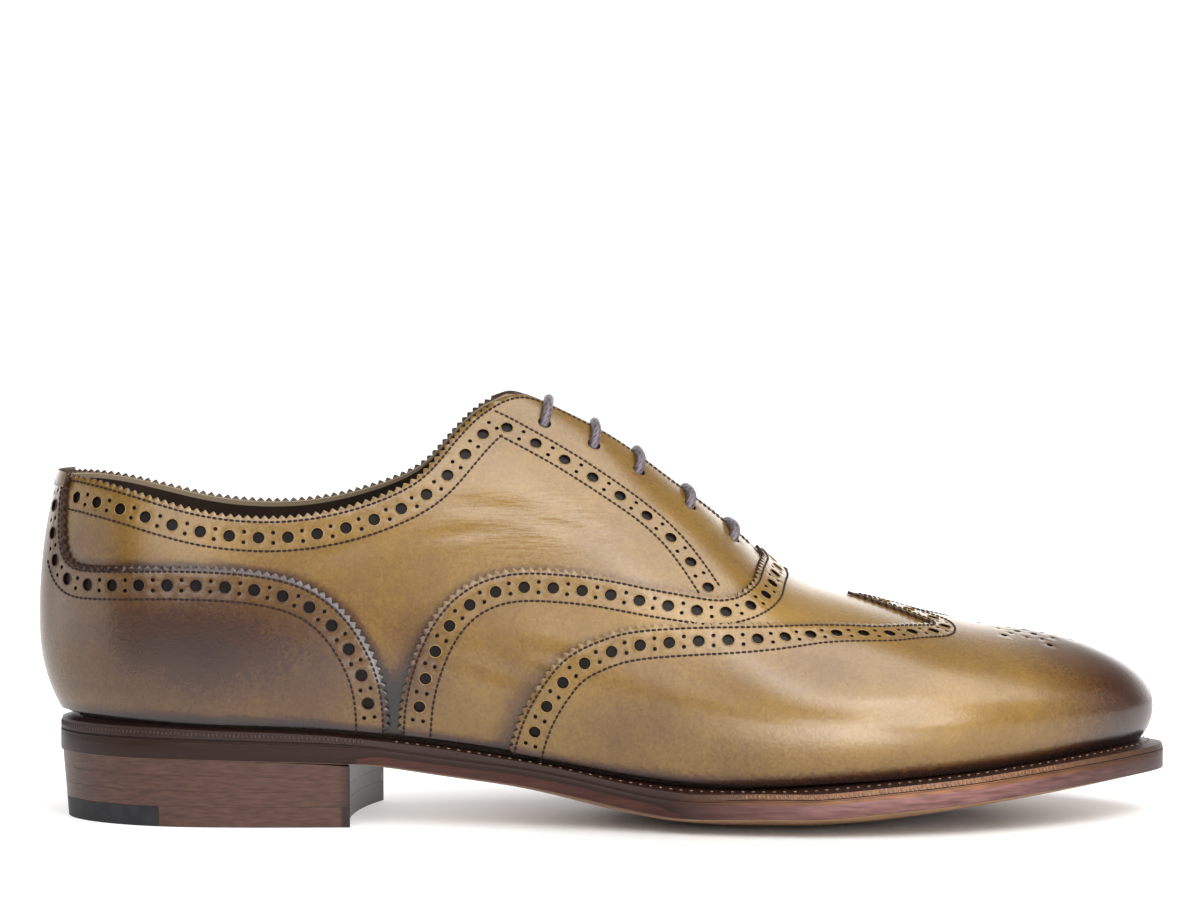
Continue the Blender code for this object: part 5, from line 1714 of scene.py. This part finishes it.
def welt_row(first, second, share, pitch, offset):
    """Evenly spaced points between two lines of the welt's section, with directions and normals."""
    rings = np.vstack([welt_rings, welt_rings[:1]])
    line = rings[:, first] * (1 - share) + rings[:, second] * share
    rise = rings[:, second] - rings[:, first]
    run = run_along(line)
    wanted = np.arange(0, run[-1], pitch)
    points = np.stack([np.interp(wanted, run, line[:, i]) for i in range(3)], axis=1)
    rises = np.stack([np.interp(wanted, run, rise[:, i]) for i in range(3)], axis=1)
    along = unit(np.gradient(points, axis=0))
    up = unit(np.cross(along, unit(rises)))
    up *= np.sign(np.einsum("ij,ij->i", up, points - [0, 0, -500]))[:, None]
    return points + up * offset, along, unit(rises), up


points, along, rises, up = welt_row(RIM_TOP, LEDGE, WELT_STITCH_ACROSS, WELT_STITCH_PITCH, WELT_STITCH_LIFT)
kept = points[:, 0] > WELT_STITCH_FROM
welt_stitches = set_out("welt_stitches", pill_tree, points[kept], along[kept], up[kept],
                        WELT_STITCH_SIZE, sole_thread)
points, along, rises, up = welt_row(RIM_LOW, RIM_TOP, WHEEL_UP, WHEEL_PITCH, 0.0)
kept = (points[:, 0] > WHEEL_FROM) & (points[:, 0] < WHEEL_TO)
wheel_marks = set_out("wheel_marks", pill_tree, points[kept], rises[kept], up[kept],
                      WHEEL_SIZE, welt_rim_leather)
kept = points[:, 0] < SEAT_TO
seat_marks = set_out("seat_marks", pill_tree, points[kept], rises[kept], up[kept], SEAT_SIZE, seat_leather)
print({piece.name: len(piece.data.polygons) for piece in (welt_stitches, wheel_marks, seat_marks)}, "faces")

# %% [markdown]
# ## The stacked heel
# Leather lifts are pegged one on another, rasped to one shape and waxed, so the joints stay as fine lines.
# The last layer has a rubber piece let into its back, where a walker wears it down, and a hollowed front
# face.

# %% Heel
TOP_PIECE, LIFT_COUNT, RUBBER_FRONT, LIFT_GAP = 5.5, 3, -119.9, 0.05
BREAST_OUTER, BREAST_INNER, BREAST_HOLLOW = -67.6, -60.8, 3.5
HEEL_INSET_TOP, HEEL_INSET_FLOOR, CORNER_STAIN = 0.4, 1.5, 2.0
HEEL_ACROSS = np.linspace(-1, 1, 25)
HEEL_ROW, HEEL_STEPS = 3, 60
heel_middle, heel_half = sole.columns["x"][HEEL_ROW], sole.columns["medial"][HEEL_ROW]


def breast_x(share):
    """The heel's front face: slanted, and hollowed in the middle."""
    return BREAST_OUTER + (BREAST_INNER - BREAST_OUTER) * (share + 1) / 2 - BREAST_HOLLOW * (1 - share**2)


def pressed_flat(row):
    """A row with its two heights brought together, which closes the end of a layer."""
    half = len(row) // 2
    flat = (row[:half] + row[half:][::-1]) / 2
    return np.vstack([flat, flat[::-1]])


def heel_layer(name, start, end, low, high, material):
    """A layer of the heel between two heights; start is None where it runs round the back."""
    begin = sole.start if start is None else start
    rows = []
    for along in np.linspace(0, 1, HEEL_STEPS):
        x = begin + (end(HEEL_ACROSS) - begin) * (along**2 if start is None else along)
        t = sole.t_at(x)
        y = sole.lateral(t) * (1 - HEEL_ACROSS) / 2 + sole.medial(t) * (1 + HEEL_ACROSS) / 2
        row = []
        for height in (low, high):
            z = height(x)
            share = np.clip(z / tread_z(x), 0, 1)
            inset = HEEL_INSET_FLOOR + (HEEL_INSET_TOP - HEEL_INSET_FLOOR) * share
            narrow = 1 - inset / heel_half
            drawn_in = np.where(x < heel_middle, heel_middle + (x - heel_middle) * narrow, x)
            row.append(np.stack([drawn_in, y * narrow, z], axis=1))
        rows.append(np.vstack([row[0], row[1][::-1]]))
    rows.append(pressed_flat(rows[-1]))
    if start is not None:
        rows.insert(0, pressed_flat(rows[0]))
    rows = np.array(rows)
    front_edge = np.max(rows[..., 0], axis=0)
    marks = {"stain": ((front_edge - rows[..., 0]) < CORNER_STAIN).astype(float)}
    return loft(name, rows, lambda i, k: 0, [material], marks=marks, sharp=35)


def level(value):
    return lambda x: np.full_like(x, value)


def lift_joint(number, clearance):
    """The height of the joint under a lift: the lifts share out the space under the sloping sole."""
    base = TOP_PIECE + LIFT_GAP / 2
    return lambda x: base + (tread_z(x) - LIFT_GAP / 2 - base) * number / LIFT_COUNT + clearance


heel = [
    heel_layer("rubber_tip", None, level(RUBBER_FRONT), level(0), level(TOP_PIECE), rubber),
    heel_layer("top_piece", RUBBER_FRONT + LIFT_GAP, breast_x, level(0), level(TOP_PIECE), stack_leather),
]
for number in range(LIFT_COUNT):
    heel.append(heel_layer("lift_%d" % (number + 1), None, breast_x, lift_joint(number, LIFT_GAP / 2),
                           lift_joint(number + 1, -LIFT_GAP / 2), stack_leather))
print([piece.name for piece in heel])

# %% [markdown]
# ## Laces
# Five bars of round, waxed cotton cross the facings. Each rises out of its outer eyelet, follows the
# facings over the slit and sinks into the inner eyelet. The braid is drawn in the material, on a UV map
# that runs along the cord.

# %% Lace bars
LACE_RADIUS, LACE_PRESS, LACE_AROUND, LACE_STEP = 1.4, 0.35, 16, 0.6
BRAID, STRANDS = 2.4, 8.0
LACE_SHARES, LACE_LIFTS = (0.0, 0.0, 0.17, 0.5, 0.85), (-3.2, -1.0, 1.1, LACE_RADIUS - LACE_PRESS, 0.35)


def braided_cotton(name, code, other):
    """Waxed braid: two sets of slanted strands, painted lighter on their crowns and darker between them, a
    painted sheen and painted shade.
    """
    material, tree, shader = new_material(name, 0.5, 0.15, 0.35)
    uv = node(tree, "ShaderNodeUVMap", uv_map="cord")
    strands = []
    for slant in (1.0, -1.0):
        turned = node(tree, "ShaderNodeMapping",
                      {"Vector": uv.outputs["UV"], "Scale": (STRANDS, slant / BRAID, 1.0)})
        strands.append(node(tree, "ShaderNodeTexWave", {"Vector": turned.outputs["Vector"], "Scale": 0.5},
                            bands_direction="DIAGONAL", wave_profile="SIN").outputs["Fac"])
    braid = node(tree, "ShaderNodeMath", {0: strands[0], 1: strands[1]}, operation="MAXIMUM").outputs[0]
    # The strands' crowns take the lighter colour, a painted sheen, and the grooves the darker, painted shade.
    tint = node(tree, "ShaderNodeValToRGB", {"Fac": braid}, ((0.1, code), (0.95, other)))
    tree.links.new(tint.outputs["Color"], shader.inputs["Base Color"])
    bump = node(tree, "ShaderNodeBump", {"Height": braid, "Strength": 0.7, "Distance": 0.25 * MM})
    tree.links.new(bump.outputs["Normal"], shader.inputs["Normal"])
    return material


lace_cotton = braided_cotton("waxed_braided_cotton", "#2C262A", "#564C52")


def smooth_path(points, spacing):
    """A natural cubic through points, divided evenly."""
    points = np.asarray(points, float)
    knots = run_along(points)
    fine = np.linspace(0, knots[-1], int(knots[-1] / spacing) + 1)
    return np.stack([spline(knots, points[:, i])(fine) for i in range(3)], axis=1)


def cord(name, points, radius, material):
    """A round cord along a path, closed at both ends, with a UV map that counts turns and millimetres."""
    path = smooth_path(points, LACE_STEP)
    along = unit(np.gradient(path, axis=0))
    first = unit(np.cross(along, np.tile([0.0, 0.35, 1.0], (len(path), 1))))
    second = np.cross(along, first)
    angles = np.arange(LACE_AROUND) * 2 * np.pi / LACE_AROUND
    outward = np.cos(angles)[:, None] * first[:, None] + np.sin(angles)[:, None] * second[:, None]
    rings = path[:, None] + radius * outward
    size = LACE_AROUND
    faces, corners = [], []
    for i in range(len(path) - 1):
        for k in range(size):
            after = (k + 1) % size
            faces.append((i * size + k, (i + 1) * size + k, (i + 1) * size + after, i * size + after))
            here, there = i * LACE_STEP, (i + 1) * LACE_STEP
            turn, next_turn = k / size, (k + 1) / size
            corners += [(turn, here), (turn, there), (next_turn, there), (next_turn, here)]
    faces.append(tuple(range(size)))
    faces.append(tuple(reversed(range((len(path) - 1) * size, len(path) * size))))
    corners += [(0.0, 0.0)] * (2 * size)
    piece = new_piece(name, rings.reshape(-1, 3), faces, [material])
    layer = piece.data.uv_layers.new(name="cord")
    layer.data.foreach_set("uv", np.asarray(corners, np.float32).ravel())
    face_outwards(piece)
    return piece


def lace_path(x):
    """A bar's way from below one eyelet, over the facings, to below the other."""
    path = []
    for side, order in ((LATERAL, 1), (MEDIAL, -1)):
        t = float(t_at_spine(x))
        eye = float(v_at_reach(side, t, EYELET_FROM_RIDGE))
        half = []
        for share, lift in zip(LACE_SHARES, LACE_LIFTS):
            v = eye + (0.985 - eye) * share
            half.append(last_point(side, t, v) + lift * last_normal(side, t, v))
        path += half[::order]
    return path


laces = [cord("lace_%d" % (k + 1), lace_path(x), LACE_RADIUS, lace_cotton) for k, x in enumerate(EYELET_X)]
print(len(laces), "lace bars,", sum(len(piece.data.polygons) for piece in laces), "faces")

# %% [markdown]
# ## Riding on the frame
# Nothing on a shoe turns on a hinge, so every piece rides on the one body, and the solids that a piece stands
# in for are hidden.

# %% Frame calls


def dress(piece, slot, *nodes):
    """Puts a piece on the one body and hides the solids named in its place; the slot is not used."""
    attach(piece, "root")
    if nodes:
        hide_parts(*nodes)


for side_sign in SIDES:
    dress(panels["quarter", side_sign], "olive_tan_calf", "upper")
dress(lining, "lining_leather", "upper")
dress(tongue, "olive_tan_calf", "tongue")
dress(panels["vamp"], "olive_tan_calf", "vamp")
dress(panels["wing"], "burnished_calf", "wing_cap")
dress(panels["counter"], "burnished_calf", "heel_counter")
dress(panels["tab"], "burnished_calf", "heel_counter")
for piece in stitches.values():
    dress(piece, "waxed_cotton")
for piece in rims.values():
    dress(piece, "olive_tan_calf")
dress(outsole, "stained_sole_leather", "outsole")
dress(welt, "stained_sole_leather", "welt")
dress(welt_stitches, "waxed_cotton")
dress(wheel_marks, "stained_sole_leather")
dress(seat_marks, "stained_sole_leather")
dress(heel[0], "black_rubber", "heel_rubber_tip")
dress(heel[1], "stained_sole_leather", "heel_top_piece")
for number in range(LIFT_COUNT):
    dress(heel[2 + number], "stained_sole_leather", "heel_lift_%d" % (number + 1))
for number, piece in enumerate(laces):
    dress(piece, "waxed_cotton", "lace_bar_%d" % (number + 1))
# The insole takes the lining's material, painted dark for the shade inside the shoe.
insole = frame["nodes"]["insole"]
insole.data.materials.clear()
insole.data.materials.append(lining_leather)
print(len(frame["nodes"]), "solids dressed")

# %% [markdown]
# ## Floor, light and camera
# A product photograph is lit by large soft sources over a white sweep, so shadows stay faint. The main one
# stands low on the right, like a window. The paper itself glows, as painted light: weakly in front of the
# shoe and strongly behind it, and in a painted pool of light in front of the forefoot so bright that the
# polish mirrors it; round the ball it does not glow, so the shadow there stays dark. Weaker lamps on the left
# and above the camera give the quarter its sheen, one overhead lights the top of the toe, and a card at each
# end lightens heel and toe. The camera stands a metre and a half off, a little above the shoe, with a long
# lens that keeps heel and toe in proportion.

# %% Stage
IMAGE_WIDTH, FOCAL_PIXELS, SENSOR = 1200, 5505.0, 36.0
ROOM_LIGHT, SWEEP_LIGHT, SKY_SHARE = 0.03, 2.8, 0.2
FLOOR_HALF, FLOOR_Z, PAPER_GLOW, BALL_AT = 60000.0, -0.05, (0.05, 0.85), (55.0, -20.0)
POOL_AT, POOL_REACH, POOL_GLOW = (90.0, -320.0), (170.0, 215.0), 6.2
GLOW_Y, POOL_FADE, BARE_FADE = (-300.0, 280.0), (0.5, 1.0), (50.0, 130.0)
SWEEP_Y, SKY_Z = (0.4, 0.95), (0.3, 0.5)
CAMERA_AT, CAMERA_AIM = np.array([-0.4, -1500.0, 201.3]), np.array([-0.4, 0.0, 99.7])
LAMPS = (
    ("window_right", (440, -700, 450), (60, -40, 40), (540, 760), 7.6),
    ("bounce_card", (112, -430, 62), (75, 0, 33), (170, 115), 0.4),
    ("fill_left", (-415, -883, 669), (-40, -40, 70), (620, 1000), 6.2),
    ("overhead", (300, -200, 1050), (60, 0, 60), (1200, 1100), 15),
    ("card_left", (-600, -60, 60), (-140, 0, 50), (500, 400), 0.9),
    ("card_right", (650, -80, 260), (130, 0, 40), (450, 450), 0.4),
    ("front_top", (6, -790, 875), (-20, -40, 70), (350, 500), 1.5),
)


def look_at(thing, target):
    way = Vector((np.asarray(target) * MM).tolist()) - thing.location
    thing.rotation_euler = way.to_track_quat("-Z", "Y").to_euler()


def softbox(name, place, target, size, power):
    """A rectangular lamp in millimetres, turned towards a target."""
    lamp = bpy.data.lights.new(name, "AREA")
    lamp.shape = "RECTANGLE"
    lamp.size, lamp.size_y = size[0] * MM, size[1] * MM
    lamp.energy = power
    light = bpy.data.objects.new(name, lamp)
    bpy.context.scene.collection.objects.link(light)
    light.location = Vector(place) * MM
    look_at(light, target)


# The paper glows, which is painted light: weakly in front of the shoe, strongly behind it, and in a bright
# pool in front of the forefoot.
glowing_floor_paper, floor_tree, floor_shader = new_material("white_paper_with_painted_glow", 0.7)
floor_shader.inputs["Base Color"].default_value = colour("#CFCECC")
floor_shader.inputs["Emission Color"].default_value = colour("#FFFFFF")
spot = node(floor_tree, "ShaderNodeTexCoord").outputs["Object"]
behind = node(floor_tree, "ShaderNodeSeparateXYZ", {0: spot}).outputs["Y"]
glow = node(floor_tree, "ShaderNodeMapRange", {
    "Value": behind, "From Min": GLOW_Y[0] * MM, "From Max": GLOW_Y[1] * MM,
    "To Min": PAPER_GLOW[0], "To Max": PAPER_GLOW[1]})
# A painted pool of light: the paper glows brightly in front of the forefoot, and the polish mirrors it.
pool_place, pool_size = (POOL_AT[0] * MM, POOL_AT[1] * MM, 0), (POOL_REACH[0] * MM, POOL_REACH[1] * MM, 1)
in_pool = node(floor_tree, "ShaderNodeMapping",
               {"Vector": spot, "Location": pool_place, "Scale": pool_size}, vector_type="TEXTURE")
from_pool = node(floor_tree, "ShaderNodeVectorMath", {0: in_pool.outputs["Vector"]}, operation="LENGTH")
painted_light_pool = node(floor_tree, "ShaderNodeMapRange", {
    "Value": from_pool.outputs["Value"], "From Min": POOL_FADE[0], "From Max": POOL_FADE[1],
    "To Min": POOL_GLOW, "To Max": 0.0}, interpolation_type="SMOOTHSTEP")
# The glow is left off round the ball, so the shadow under the forefoot stays dark.
from_ball = node(floor_tree, "ShaderNodeVectorMath", {0: spot, 1: (BALL_AT[0] * MM, BALL_AT[1] * MM, 0)},
                 operation="DISTANCE")
bare = node(floor_tree, "ShaderNodeMapRange", {
    "Value": from_ball.outputs["Value"], "From Min": BARE_FADE[0] * MM, "From Max": BARE_FADE[1] * MM})
soft_glow = node(floor_tree, "ShaderNodeMath", {0: glow.outputs["Result"], 1: bare.outputs["Result"]},
                 operation="MULTIPLY")
light_up = node(floor_tree, "ShaderNodeMath", {0: soft_glow.outputs[0], 1: painted_light_pool.outputs["Result"]},
                operation="ADD")
floor_tree.links.new(light_up.outputs[0], floor_shader.inputs["Emission Strength"])
floor_points = [(x * FLOOR_HALF, y * FLOOR_HALF, FLOOR_Z) for x, y in ((-1, -1), (1, -1), (1, 1), (-1, 1))]
floor = new_piece("floor", floor_points, [(0, 1, 2, 3)], [glowing_floor_paper])
for lamp in LAMPS:
    softbox(*lamp)
sky = bpy.data.worlds.new("white_studio")
sky.use_nodes = True
sky_tree = sky.node_tree
way = node(sky_tree, "ShaderNodeSeparateXYZ", {0: node(sky_tree, "ShaderNodeTexCoord").outputs["Generated"]})
sweep = node(sky_tree, "ShaderNodeMapRange", {
    "Value": way.outputs["Y"], "From Min": SWEEP_Y[0], "From Max": SWEEP_Y[1],
    "To Min": ROOM_LIGHT, "To Max": SWEEP_LIGHT})
low_part = node(sky_tree, "ShaderNodeMapRange", {
    "Value": way.outputs["Z"], "From Min": SKY_Z[0], "From Max": SKY_Z[1],
    "To Min": 1.0, "To Max": SKY_SHARE})
strength = node(sky_tree, "ShaderNodeMath", {0: sweep.outputs["Result"], 1: low_part.outputs["Result"]},
                operation="MULTIPLY")
sky_tree.links.new(strength.outputs[0], sky_tree.nodes["Background"].inputs["Strength"])
sky_tree.nodes["Background"].inputs["Color"].default_value = colour("#FFFFFF")
bpy.context.scene.world = sky
bpy.context.scene.view_settings.view_transform = "Standard"
lens = bpy.data.cameras.new("studio_camera")
lens.sensor_width = SENSOR
lens.lens = FOCAL_PIXELS / IMAGE_WIDTH * SENSOR
camera = bpy.data.objects.new("studio_camera", lens)
bpy.context.scene.collection.objects.link(camera)
camera.location = Vector((CAMERA_AT * MM).tolist())
look_at(camera, CAMERA_AIM)
bpy.context.scene.camera = camera
print("lens", round(lens.lens, 1), "mm")

# %% [markdown]
# ## The end
# The view layer is brought up to date once more.

# %% Finish
bpy.context.view_layer.update()
